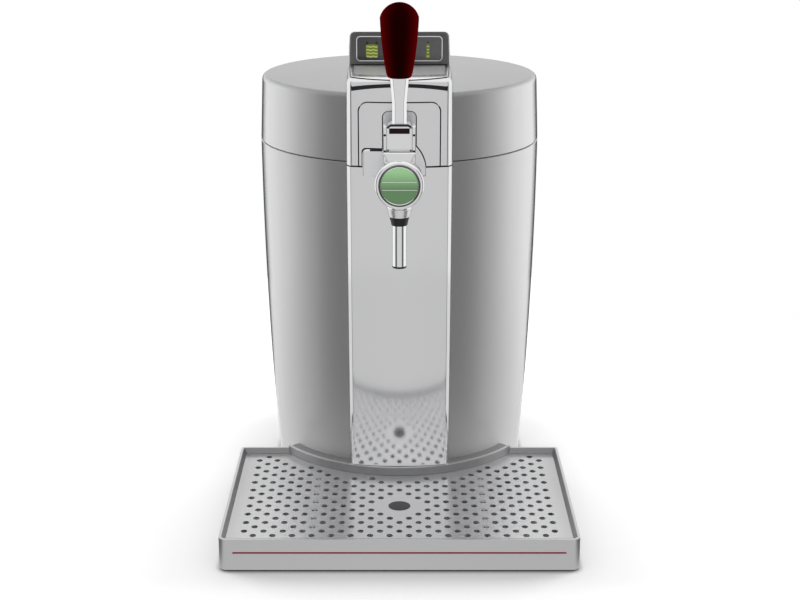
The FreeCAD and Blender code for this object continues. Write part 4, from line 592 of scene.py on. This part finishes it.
def make_shelf():
    """Bright plate in front of the display, rolled down at its front and sides, over a dark strip that is a
    painted shadow under its edge.
    """
    seat = splayed(44.8, 158.6, 3.5, PLATE_BACK, PLATE_BOW, 47.5)
    flat = splayed(40.5, 145.6, 2.0, PLATE_BACK, FIELD_BOW, 41.6)
    skin = loft(rolled([(x, y, seam_height(x) + 0.9) for x, y in seat], [(u, v, 430.3) for u, v in flat]))
    piece("shelf_skin", skin, "lid", BRIGHT, ["shelf_plate"])
    field = soften(prism(bowed(40.4, 145.5, 2.0, -90, FIELD_BOW), 430.1, 430.45), 0.12)
    piece("shelf_field", field, "lid", SATIN)
    border = splayed(42.6, 147.3, 2.5, -83, FIELD_BOW, 43.8)
    piece("shelf_border", soften(prism(border, 430.0, 430.36), 0.1), "lid", CERAMIC)
    piece("shelf_joint", soften(box(-46.5, 46.5, -82.4, -81.0, 430.2, 431.4), 0.2), "lid", RUBBER)
    # A dark strip under the plate's rolled edge: a painted shadow for the undercut there.
    edge = splayed(44.4, 158.2, 3.5, PLATE_BACK, PLATE_BOW, 47.1)
    seam_shadow = loft([[(x, y, seam_height(x) + rise) for x, y in edge] for rise in (-0.35, 1.0)])
    piece("shelf_painted_shadow", seam_shadow, "lid", RUBBER)


def punch(outline):
    """Prism that reaches through the whole depth of the lid's bowed front."""
    return prism(outline, -170, -140, on_xz)


def bent_sheet(half, top, front, wall, outline):
    """Upright sheet with the plan's bow, as wide as half to each side, trimmed to an outline."""
    count = 64
    across = [-half + 2 * half * i / count for i in range(count + 1)]
    face = [(x, -(front - sag(BOW, abs(x)))) for x in across]
    rear = [(x, -(front - wall - sag(BOW, abs(x)))) for x in reversed(across)]
    return combine(prism(face + rear, LID_FOOT + 0.3, top), punch(outline), "INTERSECT")


def door_outline(half, top, radius):
    return fillet([(-half, 340), (half, 340), (half, top), (-half, top)], {2: radius, 3: radius}, 10)


def make_head_panel():
    arch = arched(44.6, 421.2, 250)
    outline = fillet([(-44.6, 340), (44.6, 340), *arch], {2: 1.5, 26: 1.5}, 4)
    sheet = cut(bent_sheet(44.6, 425, 159.2, 3, outline), punch(door_outline(38.7, 407.8, 9.4)))
    soften(sheet, 0.35, 3)
    piece("head_skin", sheet, "lid", PANEL, ["head_panel"])
    # A dark sheet in the gap above the panel's arch: a painted shadow for that gap.
    gap = arched(44.6, 424.5, 300) + [(x, z + 0.1) for x, z in reversed(arch)]
    piece("head_painted_shadow", bent_sheet(44.5, 428, 158.7, 2.4, gap), "lid", RUBBER)


def slot_outline(inset, low):
    """The door's cut-out round the tap, or the tap plate in it when there is an inset."""
    slot = 16.1 - inset
    left = 35.3 - inset
    right = 25.3 - inset
    top = 399.5 - inset
    ledge = 364.5 - inset
    corner = 6 - inset
    points = [(-left, low)]
    points += [(right, low), *arc_between((right, 347), (slot, 367 - inset), 34, 10)]
    points += arc((slot - corner, top - corner), corner, 0, 90, 8)
    points += arc((corner - slot, top - corner), corner, 90, 180, 8)
    points += [(-slot, ledge), *arc((-left + 4, ledge - 4), 4, 90, 180, 6)]
    return points


def make_door():
    sheet = bent_sheet(37.6, 425, 159.2, 3, door_outline(37.6, 406.6, 8.6))
    sheet = cut(sheet, punch(slot_outline(0, 330)))
    soften(sheet, 0.35, 3)
    piece("door_skin", sheet, "lid", PANEL, ["door_panel"])


# ---- display

def make_pod():
    """Pod behind the ledge: its roof falls to the back in a shallow curve and its sides lean in."""
    foot_half, lean = 50.4, 2.6 / 50
    loops = []
    for y, z in arc_between((42.0, LID_TOP), (NOSE_BACK, 462.5), 1000.0, 20):
        roof = max(z, LID_TOP + 0.4)
        half = foot_half - lean * (roof - LID_TOP)
        corner = min(5.0, (roof - LID_TOP) * 0.8)
        section = [(-foot_half, LID_TOP), (foot_half, LID_TOP), (half, roof), (-half, roof)]
        loops.append([(x, y, h) for x, h in fillet(section, {2: corner, 3: corner}, 8)])
    block = soften(loft(loops), 0.9, 3, angle=50, where=lambda m: m.z > 425 and m.y < -79)
    block = cut(block, prism([(-77.2, 411), (34.5, 411), (-77.2, 458.2)], -46.5, 46.5, on_yz))
    block = cut(block, prism(rectangle(-39.2, 436.5, 39.2, 454.9), -81, -76, on_xz))
    piece("pod_skin", block, "lid", SILVER, ["display_pod"])
    lines = []
    for side in (-1, 1):
        outline = [(48.1 * side, 425.5), (49.5 * side, 425.5), (48.5 * side, 446), (47.6 * side, 446)]
        lines.append(soften(prism(outline, -80.2, -78.5, on_xz), 0.5, 3))
    piece("pod_lines", gather(*lines), "lid", BRIGHT)


def framed(outer, inner, low, high, edge):
    """Flat frame between two outlines on the pod's face, its edges softened."""
    return soften(cut(prism(outer, low, high, on_xz), prism(inner, low - 5, high + 5, on_xz)), edge)


def make_display():
    face = DISPLAY_FACE
    hole = rectangle(-41.7, 434, 41.7, 458.4, 4, 8)
    bezel = fillet([(-47.8, 431.1), (47.8, 431.1), (46.7, 462.2), (-46.7, 462.2)], {2: 5.5, 3: 5.5}, 8)
    frame_skin = framed(bezel, hole, face - 1.5, face, 0.35)
    piece("bezel_skin", frame_skin, "lid", BEZEL, ["display_bezel"])
    outer = rectangle(-41.65, 434.05, 41.65, 458.35, 3.95, 8)
    inner = rectangle(-40.7, 435, 40.7, 457.4, 3, 8)
    trim = framed(outer, inner, face - 1.7, face, 0.2)
    piece("trim_skin", trim, "lid", CHROME, ["display_trim"])
    pane = soften(prism(rectangle(-40.6, 435.1, 40.6, 457.3, 2.9, 8), face - 1.2, face, on_xz), 0.2)
    piece("pane_skin", pane, "lid", GLASS, ["display_glass"])
    make_icons(face - 1.2)


def slab(outline, face, thick=0.15):
    """Thin mark that lies on a face and is let into it by a hair."""
    return prism(outline, face - thick, face + 0.02, on_xz)


def make_icons(face):
    keg = fillet([
        (-31.2, 437.6), (-21.8, 437.6), (-20.6, 439.6), (-20.6, 449.0), (-21.8, 450.4), (-31.2, 450.4),
        (-32.4, 449.0), (-32.4, 439.6),
    ], 0.8, 3)
    piece("icon_keg", slab(keg, face), "lid", ICON)
    waves = []
    for z in (438.8, 441.9, 445.0, 448.1):
        crest = [(-31.8 + 10.6 * i / 16, z + 0.6 + 0.35 * math.sin(i * math.pi / 4)) for i in range(17)]
        trough = [(x, h - 1.3) for x, h in reversed(crest)]
        waves.append(slab(crest + trough, face - 0.15, 0.1))
    piece("icon_waves", gather(*waves), "lid", ICON_PALE)
    horns = []
    for x, side in ((-30.6, -1), (-22.4, 1)):
        horns.append(slab([(x - 1.5, 450.6), (x + 1.5, 450.6), (x + 1.1 * side, 453.6)], face))
    piece("icon_horns", gather(*horns), "lid", RUBBER)
    middle = 27.5
    marks = [
        rectangle(25.2, 437.5, 29.8, 441.0, 1.2, 4),
        rectangle(26.0, 441.3, 29.0, 446.6, 0.8, 4),
        ring((middle, 448.6), 1.9, 20),
    ]
    piece("icon_thermometer", gather(*[slab(mark, face) for mark in marks]), "lid", ICON)
    bands = []
    for z in (438.6, 442.0, 444.8, 448.0):
        bands.append(slab(rectangle(middle - 1.2, z, middle + 1.2, z + 1.0, 0.4, 4), face - 0.15, 0.1))
    piece("icon_bands", gather(*bands), "lid", ICON_PALE)
    piece("icon_dot", slab(ring((middle, 452.4), 0.8, 12), face), "lid", RUBBER)


# ---- tap

def hose_way(near, far):
    """Round bar along the hose, from one distance in front of the axis to another."""
    return lathe([(0, near), (4.5, near), (4.5, far), (0, far)], 32, about_y(HOSE_Z))


def make_tap_base():
    """Plate in the door's slot, its stepped block on the left and the hose's way through it."""
    plate = prism(slot_outline(0.9, 338.3), -157.5, -147, on_xz)
    outline = fillet([(-34.6, 338.4), (-17.2, 338.4), (-17.2, 363.6), (-34.6, 363.6)], {3: 4.5}, 6)
    pad = prism(outline, -160, -150, on_xz)
    soften(pad, 1.8, 4, where=lambda m: m.y < -159.5 and (m.x < -33 or m.z > 358))
    plate = cut(join(plate, pad), hose_way(140, 170))
    soften(plate, 0.6, segments=3, where=lambda m: -158 < m.y < -157)
    piece("tap_plate", plate, "machine", PLATE, ["tap_base"])
    # A dark slab on the plate above the block: a painted shadow for the gap there.
    shade = prism(rectangle(-27.5, 361.9, -15.7, 363.6, 0.6, 4), -160.3, -157.0, on_xz)
    piece("block_painted_shadow", shade, "machine", RUBBER)


def make_tap_body():
    """Round housing on its arm, two ears for the lever, and the flared lip in front of them."""
    puck = lathe([
        (0, 203), (15, 203), (20.5, 208), (22.25, 212), *arc((19.75, 223.5), 2.5, 0, 90, 6), (0, 226),
    ], 96, about_y())
    arm = [(-158.0, 338.7), (-160.5, 338.7), (-160.5, 331), (-209, 331), (-209, 362), (-158, 362)]
    arm = soften(prism(arm, -14.5, 14.5, on_yz), 3.0, 4, where=lambda m: abs(m.x) > 14)
    ear = fillet([(-209, 357), (-191, 352), (-191, 395), (-209, 395)], {2: 7.5, 3: 2.0}, 8)
    ears = [soften(prism(ear, low, high, on_yz), 0.6) for low, high in both_sides(EAR_NEAR, EAR_FAR)]
    front = prism([(-208.5, 352), (-208.5, 371.7), (-214.5, 371.7), (-216.5, 352)], -15, 15, on_yz)
    flare = [(-9.7, 352), (9.7, 352), (9.7, 361), (14.4, 370)]
    flare += [(14.4, 373), (-14.4, 373), (-14.4, 370), (-9.7, 361)]
    lip = soften(combine(front, prism(flare, -220, -200, on_xz), "INTERSECT"), 1.3, 4, angle=30)
    foot = [(-9.7, 352), (9.7, 352), (9.7, 361), (14.5, 370), (-14.5, 370), (-9.7, 361)]
    root = soften(prism(foot, -211, -190, on_xz), 0.6)
    boss = lathe([(0, 321.3), (11.6, 321.3), (12.2, 330), (12.2, 344), (0, 344)], 64, about_z())
    body = join(arm, puck, boss, root, lip, *ears)
    sweep = [(-188, 361.9), (-208.8, 361.9), (-208.8, 367.9), (-212.6, 371.7), (-212.6, 398), (-188, 398)]
    body = cut(
        body,
        prism(sweep, -EAR_NEAR, EAR_NEAR, on_yz),
        lathe([(0, 315), (5, 315), (5, 351.5), (0, 351.5)], 32, about_z()),
        hose_way(157, 212),
        lathe([(0, 340), (3.05, 340), (3.05, 365), (0, 365)], 32, about_z(PIVOT_Y)),
        lathe([(0, 225.2), (18.95, 225.2), (18.95, 230), (0, 230)], 96, about_y()),
        pin_way(1.55, 20),
        pin_way(1.35, 20, EAR_PIN_Z),
    )
    soften(body, 0.25)
    piece("tap_head", body, "machine", CHROME, ["tap_body"])
    stops = []
    for low, high in both_sides(11.9, 14.2):
        for z in (371.8, 386.4):
            stops.append(soften(box(low, high, -209.5, -206.5, z - 0.95, z + 0.95), 0.4))
    piece("ear_stops", gather(*stops), "machine", RUBBER)


def make_spout():
    cone = lathe([(5, 313), (9.5, 313), (9.8, 313.3), (11.6, 320.6), (11.3, 321), (5, 321)], 64, about_z())
    piece("cone_skin", cone, "machine", PLATE, ["spout_cone"])
    collar = lathe([
        (6.6, 304.8), (7.0, 304.8), (7.4, 305.3), (7.7, 307.4),
        (8.9, 311.7), (9.0, 312.5), (8.7, 312.8), (6.6, 312.8),
    ], 64, about_z())
    piece("collar_skin", collar, "machine", RUBBER, ["spout_collar"])
    tube = lathe([(5.0, 266.7), (6.55, 266.7), (6.55, 312.8), (5.0, 312.8)], 64, about_z())
    piece("tube_skin", tube, "machine", CHROME, ["spout_tube"])
    tip = [(5.0, 265.0), (5.2, 264.8), (6.2, 264.8), (6.5, 265.1), (6.5, 266.7), (5.0, 266.7)]
    piece("tube_tip", lathe(tip, 64, about_z()), "machine", RUBBER)


def make_badge():
    rim = lathe([(17.7, 225.4), (18.9, 225.4), *arc((18.3, 227.5), 0.6, 0, 180, 8)], 96, about_y())
    piece("badge_rim", rim, "machine", RIM, ["badge_ring"])
    radius, steps = 17.65, 8
    dome = [(0, 225.4), (radius, 225.4), (radius, 226.6)]
    for i in range(1, steps + 1):
        inward = i / steps
        dome.append((radius - radius * inward, 226.7 + 0.7 * (1 - (1 - inward) ** 2)))
    piece("badge_face", lathe(dome, 96, about_y()), "machine", BADGE, ["badge_disc"])
    hoop = [(16.75, 226.3), (radius, 226.3), (radius, 227.3), (17.2, 227.55), (16.75, 227.3)]
    lines = []
    for z in (340.4, 347.6):
        lines.append(prism(rectangle(-15.6, z - 0.22, 15.6, z + 0.22), -227.5, -226.6, on_xz))
    piece("badge_lines", gather(lathe(hoop, 96, about_y()), *lines), "machine", PALE)


def make_pins():
    piece("pin_skin", pin_way(1.5, EAR_FAR, steps=32), "machine", DARK, ["lever_pin"])
    ends = []
    for low, high in both_sides(EAR_NEAR, EAR_FAR):
        ends.append(lathe([(0, low), (1.3, low), (1.3, high), (0, high)], 24, about_x(EAR_PIN_Z)))
    piece("ear_pin_skin", gather(*ends), "machine", DARK, ["ear_pins"])


# ---- lever

def crowned(half, low, high, radius):
    """Upright outline with its two top corners rounded."""
    return fillet([(-half, low), (half, low), (half, high), (-half, high)], {2: radius, 3: radius}, 8)


def yoke_rim(grow, low, high):
    """Strip that follows the top edge of the yoke's face."""
    outer = crowned(11.1 + grow, 380, YOKE_TOP + grow, 4.5)
    inner = crowned(10.0 - grow, 370, YOKE_TOP - 2.0 - grow, 3.2)
    strip = cut(prism(outer, low, high, on_xz), prism(inner, low - 5, high + 5, on_xz))
    return cut(strip, box(-20, 20, -220, -190, 370, 392.2))


YOKE_TOP = 396.0
YOKE_HALF = 11.15
YOKE_RADIUS = 7.5
YOKE_FLAT = 4.2

# Height, width and depth of the neck on its way up into the handle.
NECK = (
    (393, 13.1, 9), (404, 13.1, 9), (414, 13.1, 9), (416, 13.3, 9.2), (424, 14.7, 10.3), (432, 16.1, 11.4),
    (436.4, 16.8, 12),
)


def make_lever():
    """Yoke that turns on the pin, its foot flat where it holds the plunger down, and the bright neck."""
    y, z = PIVOT_Y, PIVOT_Z
    half_flat = math.sqrt(YOKE_RADIUS ** 2 - YOKE_FLAT ** 2)
    far = (YOKE_FLAT + half_flat) / math.sqrt(2)
    close = (YOKE_FLAT - half_flat) / math.sqrt(2)
    a = math.degrees(math.atan2(-far, -close))
    side = [(y - YOKE_RADIUS, YOKE_TOP), (y - YOKE_RADIUS, z + half_flat / 2), (y - far, z - close)]
    side += [*arc((y, z), YOKE_RADIUS, a, 0, 12), (y + YOKE_RADIUS, YOKE_TOP)]
    block = prism(side, -YOKE_HALF, YOKE_HALF, on_yz)
    face = prism(crowned(YOKE_HALF, 355, YOKE_TOP, 4.5), -215, -185, on_xz)
    block = combine(block, face, "INTERSECT")
    groove = yoke_rim(0.2, -210, -206.6)
    block = cut(
        block, groove,
        box(-9.35, 9.35, -210, -203.75, 387.4, 392.4),
        box(-12, -9.35, -210, -206.3, 360, 392.0),
        box(9.35, 12, -210, -206.3, 360, 392.0),
        pin_way(1.55, 20),
    )
    soften(block, 0.35)
    loops = []
    for height, width, depth in NECK:
        front, rear, half = y - depth / 2, y + depth / 2, width / 2
        plan = fillet([
            (-half, front + 3.4), (-half + 2.6, front), (half - 2.6, front),
            (half, front + 3.4), (half, rear), (-half, rear),
        ], {0: 1.2, 1: 1.2, 2: 1.2, 3: 1.2, 4: 2.0, 5: 2.0}, 4)
        loops.append([(u, v, height) for u, v in plan])
    neck = cut(loft(loops), lathe([(0, 426), (3.05, 426), (3.05, 440), (0, 440)], 24, about_z(y)))
    piece("lever_body", join(block, neck), "lever", CHROME, ["lever_arm"])
    # A dark red slab in the yoke's pocket: a painted reflection of the knob above.
    reflected = box(-9.2, 9.2, -206.9, -203.8, 387.5, 392.3)
    piece("lever_painted_reflection", soften(reflected, 0.4), "lever", KNOB_REFLECTION)
    # A dark strip in the groove along the yoke's top edge: a painted shadow for the gap there.
    piece("lever_painted_shadow", yoke_rim(0.0, -207.3, -206.5), "lever", RUBBER)


def make_knob():
    """Handle with gently bulging sides under a domed top, hollow for its stud."""
    wide, widest_z, top, stud = 17.3, 489.5, 502.7, 3.05
    rise = top - widest_z
    dome = (wide * wide + rise * rise) / (2 * rise)
    edge = math.degrees(math.acos(wide / dome))
    outline = [(stud, 436.7), (9.4, 436.7), (10.2, 437.1)]
    outline += arc_between((11.6, 440.0), (wide, widest_z), 330, 20)[:-1]
    outline += arc((0, top - dome), dome, edge, 90, 16)
    outline += [(0, 450.7), (stud, 450.7)]
    piece("knob_skin", lathe(outline, 96, about_z(PIVOT_Y)), "lever", RED, ["lever_knob"])


# ---- drip tray

def tray_plan(inset, hollow, front_round, rear_round):
    """Outline of the tray, drawn in all round by inset, with the hollow that the drum stands in."""
    half = TRAY_HALF - inset
    back = TRAY_BACK - inset
    front = TRAY_FRONT + inset
    across = math.sqrt(hollow ** 2 - back ** 2)
    turn = math.degrees(math.atan2(across, -back))
    corners = fillet(
        [(-half, back), (-half, front), (half, front), (half, back)],
        {0: rear_round, 1: front_round, 2: front_round, 3: rear_round}, 6,
    )
    return corners + arc((0, 0), hollow, 270 + turn, 270 - turn, 48)


def tray_slope(low_inset, low, high_inset, high):
    """Block whose sides run from one inset of the tray's plan up to another."""
    rows = []
    for inset, z in ((low_inset, low), (high_inset, high)):
        plan = tray_plan(inset, HOLLOW_WALL, 7.4 - inset, 3.0 - 0.3 * inset)
        rows.append([(x, y, z) for x, y in plan])
    return loft(rows)


def back_wall(outline, back):
    """Wall round the hollow, cut off square at its two ends."""
    wall = lathe(outline, 96, start=217, sweep=106)
    return combine(wall, box(-200, 200, -150, back, 10, 40), "INTERSECT")


def make_tray():
    """Tray with its raised back wall, a darker copy of its finish on the slope inside its rim as painted
    shade, two ribs and a red stripe.
    """
    wall = back_wall([(HOLLOW, 20), (HOLLOW_WALL, 20), (HOLLOW_WALL, 35.5), (HOLLOW, 35.5)], TRAY_BACK)
    body = join(prism(tray_plan(0, HOLLOW, 7, 3), 1.5, 32.5), wall)
    body = cut(body, prism(tray_plan(5, HOLLOW_WALL, 2.5, 1.5), 4, 34), tray_slope(5.0, 27.4, 2.3, 32.7))
    soften(body, 0.9, 3, where=lambda m: m.z > 30)
    soften(body, 1.2, 3, where=lambda m: m.z < 2)
    body = cut(body, box(-152.2, 152.2, -299, -297.7, 18.2, 20.0))
    ribs = [box(x - 1, x + 1, -274, -150.1, 3.9, 25.2) for x in (-81, 81)]
    piece("tray_skin", gather(body, *ribs), "tray", TRAY, ["tray_body"])
    # The slope inside the rim and the back wall's inner face are overlaid in a darker copy of the tray's
    # finish: painted shade.
    slope = cut(tray_slope(5.0, 27.3, 2.35, 32.5), tray_slope(5.35, 27.2, 2.8, 32.6))
    inner = HOLLOW_WALL + 0.35
    facing = back_wall([(HOLLOW_WALL, 27.2), (inner, 27.2), (inner, 34.9), (HOLLOW_WALL, 35.2)], -88.5)
    piece("tray_slope", gather(slope, facing), "tray", PAINTED_SHADE)
    stripe = soften(box(-152, 152, -297.95, -297.6, 18.4, 19.8), 0.1)
    piece("tray_stripe", stripe, "tray", STRIPE)


def hole_places():
    """Staggered rows that keep a plain margin at every edge and round the drain."""
    places = []
    for row in range(21):
        y = row * HOLE_STEP - 278.7
        for column in range(-16, 17):
            x = column * HOLE_STEP
            clear = math.hypot(x, y) > 154.35 and math.hypot(x, y - DRAIN_Y) > 19.75
            if (column + row) % 2 == 1 and abs(x) <= 150.75 and clear:
                places.append((x, y))
    return places


def perforated(outline, holes, radius, heights):
    """Plate with round holes between the two heights."""
    sides = 20
    bm = bmesh.new()
    shells = []
    for z in heights:
        points = [Vector(p) for p in outline]
        edges = [(i, (i + 1) % len(outline)) for i in range(len(outline))]
        rings = []
        for centre in holes:
            first = len(points)
            points += [Vector(p) for p in ring(centre, radius, sides)]
            loop = list(range(first, len(points)))
            rings.append(loop)
            edges += [(loop[i], loop[(i + 1) % sides]) for i in range(sides)]
        flat, _, faces, origins, _, _ = delaunay_2d_cdt(points, edges, [], 1, 1e-4)
        verts = [bm.verts.new((p.x, p.y, z)) for p in flat]
        near = {}
        for index, source in enumerate(origins):
            for item in source:
                near[item] = verts[index]
        for face in faces:
            middle = sum((flat[i] for i in face), Vector((0, 0))) / len(face)
            if not any((middle - Vector(c)).length < radius * 0.9 for c in holes):
                bm.faces.new([verts[i] for i in face])
        shells.append((near, rings, len(outline)))
    for (top, rings, count), (foot, _, _) in zip(shells, shells[1:]):
        for loop in rings + [list(range(count))]:
            for i in range(len(loop)):
                a, b = loop[i], loop[(i + 1) % len(loop)]
                bm.faces.new((top[a], top[b], foot[b], foot[a]))
    loose = [v for v in bm.verts if not v.link_faces]
    bmesh.ops.delete(bm, geom=loose, context="VERTS")
    return tidy(bm)


def make_grille():
    outline = tray_plan(5.4, HOLLOW_WALL + 0.4, 2.2, 1.2)
    plate = perforated(outline, hole_places(), HOLE_RADIUS, (GRILLE_TOP, GRILLE_FOOT))
    edge = DRAIN_RADIUS + 0.05
    plate = cut(plate, lathe([(0, 26.2), (edge, 26.2), (edge, 30), (0, 30)], 64, about_z(DRAIN_Y)))
    piece("grille_skin", plate, "grille", STEEL, ["drip_grille"], smooth=False)
    disc = [(0, 26.25), (DRAIN_RADIUS, 26.25), (DRAIN_RADIUS, 26.9), (DRAIN_RADIUS - 0.6, 27.3), (0, 27.45)]
    piece("drain_skin", lathe(disc, 64, about_z(DRAIN_Y)), "grille", DARK, ["drain_disc"])


# ---- carried-over nodes

PLAIN = (
    (DARK, "base_pan rear_panel power_inlet rocker_frame power_rocker fan_frame fan_rotor display_lcd"),
    (RUBBER, "base_feet tray_feet lid_gasket"),
    (GREY, "deck_ring lid_liner"),
    (LINER, "keg_liner cold_plate heat_sink"),
    (FOAM, "foam_jacket lid_foam"),
    (CERAMIC, "peltier_module"),
    (STEEL, "power_supply hinge_pin knob_stud pinch_plunger"),
    (GREEN_BOARD, "control_board"),
    (SILVER, "hinge_bracket hinge_leaf"),
)


def dress_nodes():
    """Gives the solids that show as they are a finish each."""
    for material, names in PLAIN:
        for name in names.split():
            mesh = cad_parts[name].data
            mesh.materials.clear()
            mesh.materials.append(material)


# ---- studio

def ramp(tree, stops):
    """Grey levels between the stops, each a place from 0 to 1 and a level."""
    made = tree.nodes.new("ShaderNodeValToRGB")
    elements = made.color_ramp.elements
    while len(elements) > 1:
        elements.remove(elements[-1])
    elements[0].position, level = stops[0]
    elements[0].color = (level, level, level, 1)
    for position, level in stops[1:]:
        elements.new(position).color = (level, level, level, 1)
    return made


def maths(tree, operation, *inputs):
    return node(tree, "ShaderNodeMath", *inputs, operation=operation).outputs[0]


def azimuth(tree, vector):
    """How far a direction turns from straight ahead, 0 in front to 1 behind, alike on both sides."""
    split = node(tree, "ShaderNodeSeparateXYZ", vector)
    across = maths(tree, "ABSOLUTE", split.outputs["X"])
    ahead = maths(tree, "MULTIPLY", split.outputs["Y"], -1.0)
    turn = maths(tree, "ARCTAN2", across, ahead)
    return maths(tree, "DIVIDE", turn, math.pi), split.outputs["Z"]


# The studio's levels: what lights matte things all round, what metal sees of the walls, what it sees of the
# table from straight ahead (0) to right behind (1), and the glow of the table itself.
FILL = 0.115
DARK_GAP = ((0.24, 0.12), (0.37, 0.12))
WALLS = ((0.0, 0.70), (0.20, 0.69), *DARK_GAP, (0.41, 1.0), (0.72, 1.0), (0.84, 0.68), (1.0, 0.68))
TABLE = ((0.0, 0.67), (0.20, 0.65), *DARK_GAP, (0.42, 0.8), (0.78, 0.85), (0.82, 0.12), (1.0, 0.12))
TABLE_MATTE = 0.62
TABLE_GLOW = 0.67


def make_world():
    """White studio: metal sees its sides white, its front and back grey, and a dark gap in between."""
    world = bpy.data.worlds.new("studio")
    bpy.context.scene.world = world
    world.use_nodes = True
    tree = world.node_tree
    tree.nodes.clear()
    place = node(tree, "ShaderNodeTexCoord")
    turn, height = azimuth(tree, place.outputs["Generated"])
    shade = ramp(tree, WALLS)
    tree.links.new(turn, shade.inputs["Fac"])
    behind = node(tree, "ShaderNodeMapRange", turn, 0.80, 0.84, 0.0, 1.0).outputs[0]
    below = node(tree, "ShaderNodeMapRange", height, -0.03, 0.0, 1.0, 0.0).outputs[0]
    low_back = maths(tree, "MULTIPLY", maths(tree, "MULTIPLY", behind, below), 0.9)
    dark = maths(tree, "SUBTRACT", 1.0, low_back)
    level = maths(tree, "MULTIPLY", shade.outputs["Color"], dark)
    above = node(tree, "ShaderNodeMapRange", height, 0.34, 0.6, 0.0, 1.0).outputs[0]
    level = maths(tree, "ADD", above, maths(tree, "MULTIPLY", level, maths(tree, "SUBTRACT", 1.0, above)))
    studio = node(tree, "ShaderNodeBackground", level)
    fill = node(tree, "ShaderNodeBackground", (FILL, FILL, FILL, 1))
    plain = node(tree, "ShaderNodeBackground", (1, 1, 1, 1))
    path = node(tree, "ShaderNodeLightPath")
    glossy = path.outputs["Is Glossy Ray"]
    inner = node(tree, "ShaderNodeMixShader", glossy, fill.outputs[0], studio.outputs[0])
    clear = maths(tree, "MAXIMUM", path.outputs["Is Camera Ray"], path.outputs["Is Transmission Ray"])
    outer = node(tree, "ShaderNodeMixShader", clear, inner.outputs[0], plain.outputs[0])
    node(tree, "ShaderNodeOutputWorld", outer.outputs[0])


def make_lamp(name, place, target, size, power):
    lamp = bpy.data.lights.new(name, "AREA")
    lamp.shape = "RECTANGLE"
    lamp.size, lamp.size_y = size
    lamp.energy = power
    thing = bpy.data.objects.new(name, lamp)
    bpy.context.scene.collection.objects.link(thing)
    thing.location = place
    thing.rotation_euler = (Vector(target) - Vector(place)).to_track_quat("-Z", "Y").to_euler()
    thing.visible_glossy = False


def make_floor():
    """White table with a soft contact shade. Metal sees the studio's bands on it."""
    bm = bmesh.new()
    verts = [bm.verts.new((x, y, 0)) for x, y in ring((0, 0), 0.75, 96)]
    bm.faces.new(verts)
    floor = as_object(bm, "studio_floor")
    material = bpy.data.materials.new("floor_finish")
    material.use_nodes = True
    tree = material.node_tree
    tree.nodes.clear()
    path = node(tree, "ShaderNodeLightPath")
    seen = path.outputs["Is Camera Ray"]
    matte = node(tree, "ShaderNodeBsdfDiffuse")
    place = node(tree, "ShaderNodeTexCoord")
    turn, _ = azimuth(tree, place.outputs["Object"])
    shade = ramp(tree, TABLE)
    tree.links.new(turn, shade.inputs["Fac"])
    open_sky = node(tree, "ShaderNodeAmbientOcclusion", None, 0.10, samples=8)
    touch = node(tree, "ShaderNodeAmbientOcclusion", None, 0.006, samples=8)
    shaded = maths(tree, "MULTIPLY", open_sky.outputs["AO"], touch.outputs["AO"])
    tree.links.new(maths(tree, "MULTIPLY", touch.outputs["AO"], TABLE_MATTE), matte.inputs["Color"])
    lit = maths(tree, "MULTIPLY", shaded, maths(tree, "MULTIPLY", seen, TABLE_GLOW))
    bounced = maths(tree, "ADD", path.outputs["Is Glossy Ray"], path.outputs["Is Transmission Ray"])
    both = maths(tree, "ADD", lit, maths(tree, "MULTIPLY", shade.outputs["Color"], bounced))
    glow = node(tree, "ShaderNodeEmission", None, both)
    none = node(tree, "ShaderNodeEmission", None, 0.0)
    kept = node(tree, "ShaderNodeMixShader", seen, none.outputs[0], matte.outputs[0])
    total = node(tree, "ShaderNodeAddShader", kept.outputs[0], glow.outputs[0])
    node(tree, "ShaderNodeOutputMaterial", total.outputs[0])
    floor.data.materials.append(material)


def make_camera():
    """The photograph's own view: 17.4 degrees down, from 1.42 metres in front of the middle."""
    data = bpy.data.cameras.new("photo_camera")
    data.lens = 65.57
    data.sensor_width = 36.0
    data.shift_x = 0.00075
    camera = bpy.data.objects.new("photo_camera", data)
    bpy.context.scene.collection.objects.link(camera)
    camera.location = (0.0, -1.42225, 0.6351)
    camera.rotation_euler = (math.radians(72.6), 0, 0)
    bpy.context.scene.camera = camera


make_camera()
make_world()
make_floor()
make_lamp("left_bank", (-1.31, 0.48, 0.37), (0, 0.07, 0.2), (0.9, 1.2), 28.5)
make_lamp("right_bank", (1.31, 0.48, 0.37), (0, 0.07, 0.2), (0.9, 1.2), 30.5)
make_lamp("top_bank", (0, 0.05, 1.7), (0, 0.05, 0.2), (1.0, 1.0), 0.4)
bpy.context.scene.view_settings.view_transform = "Standard"

dress_nodes()
for make in (
    make_drum, make_dock, make_column, make_lid, make_hood, make_shelf, make_head_panel, make_door,
    make_pod, make_display, make_tap_base, make_tap_body, make_spout, make_badge, make_pins, make_lever,
    make_knob, make_tray, make_grille,
):
    make()
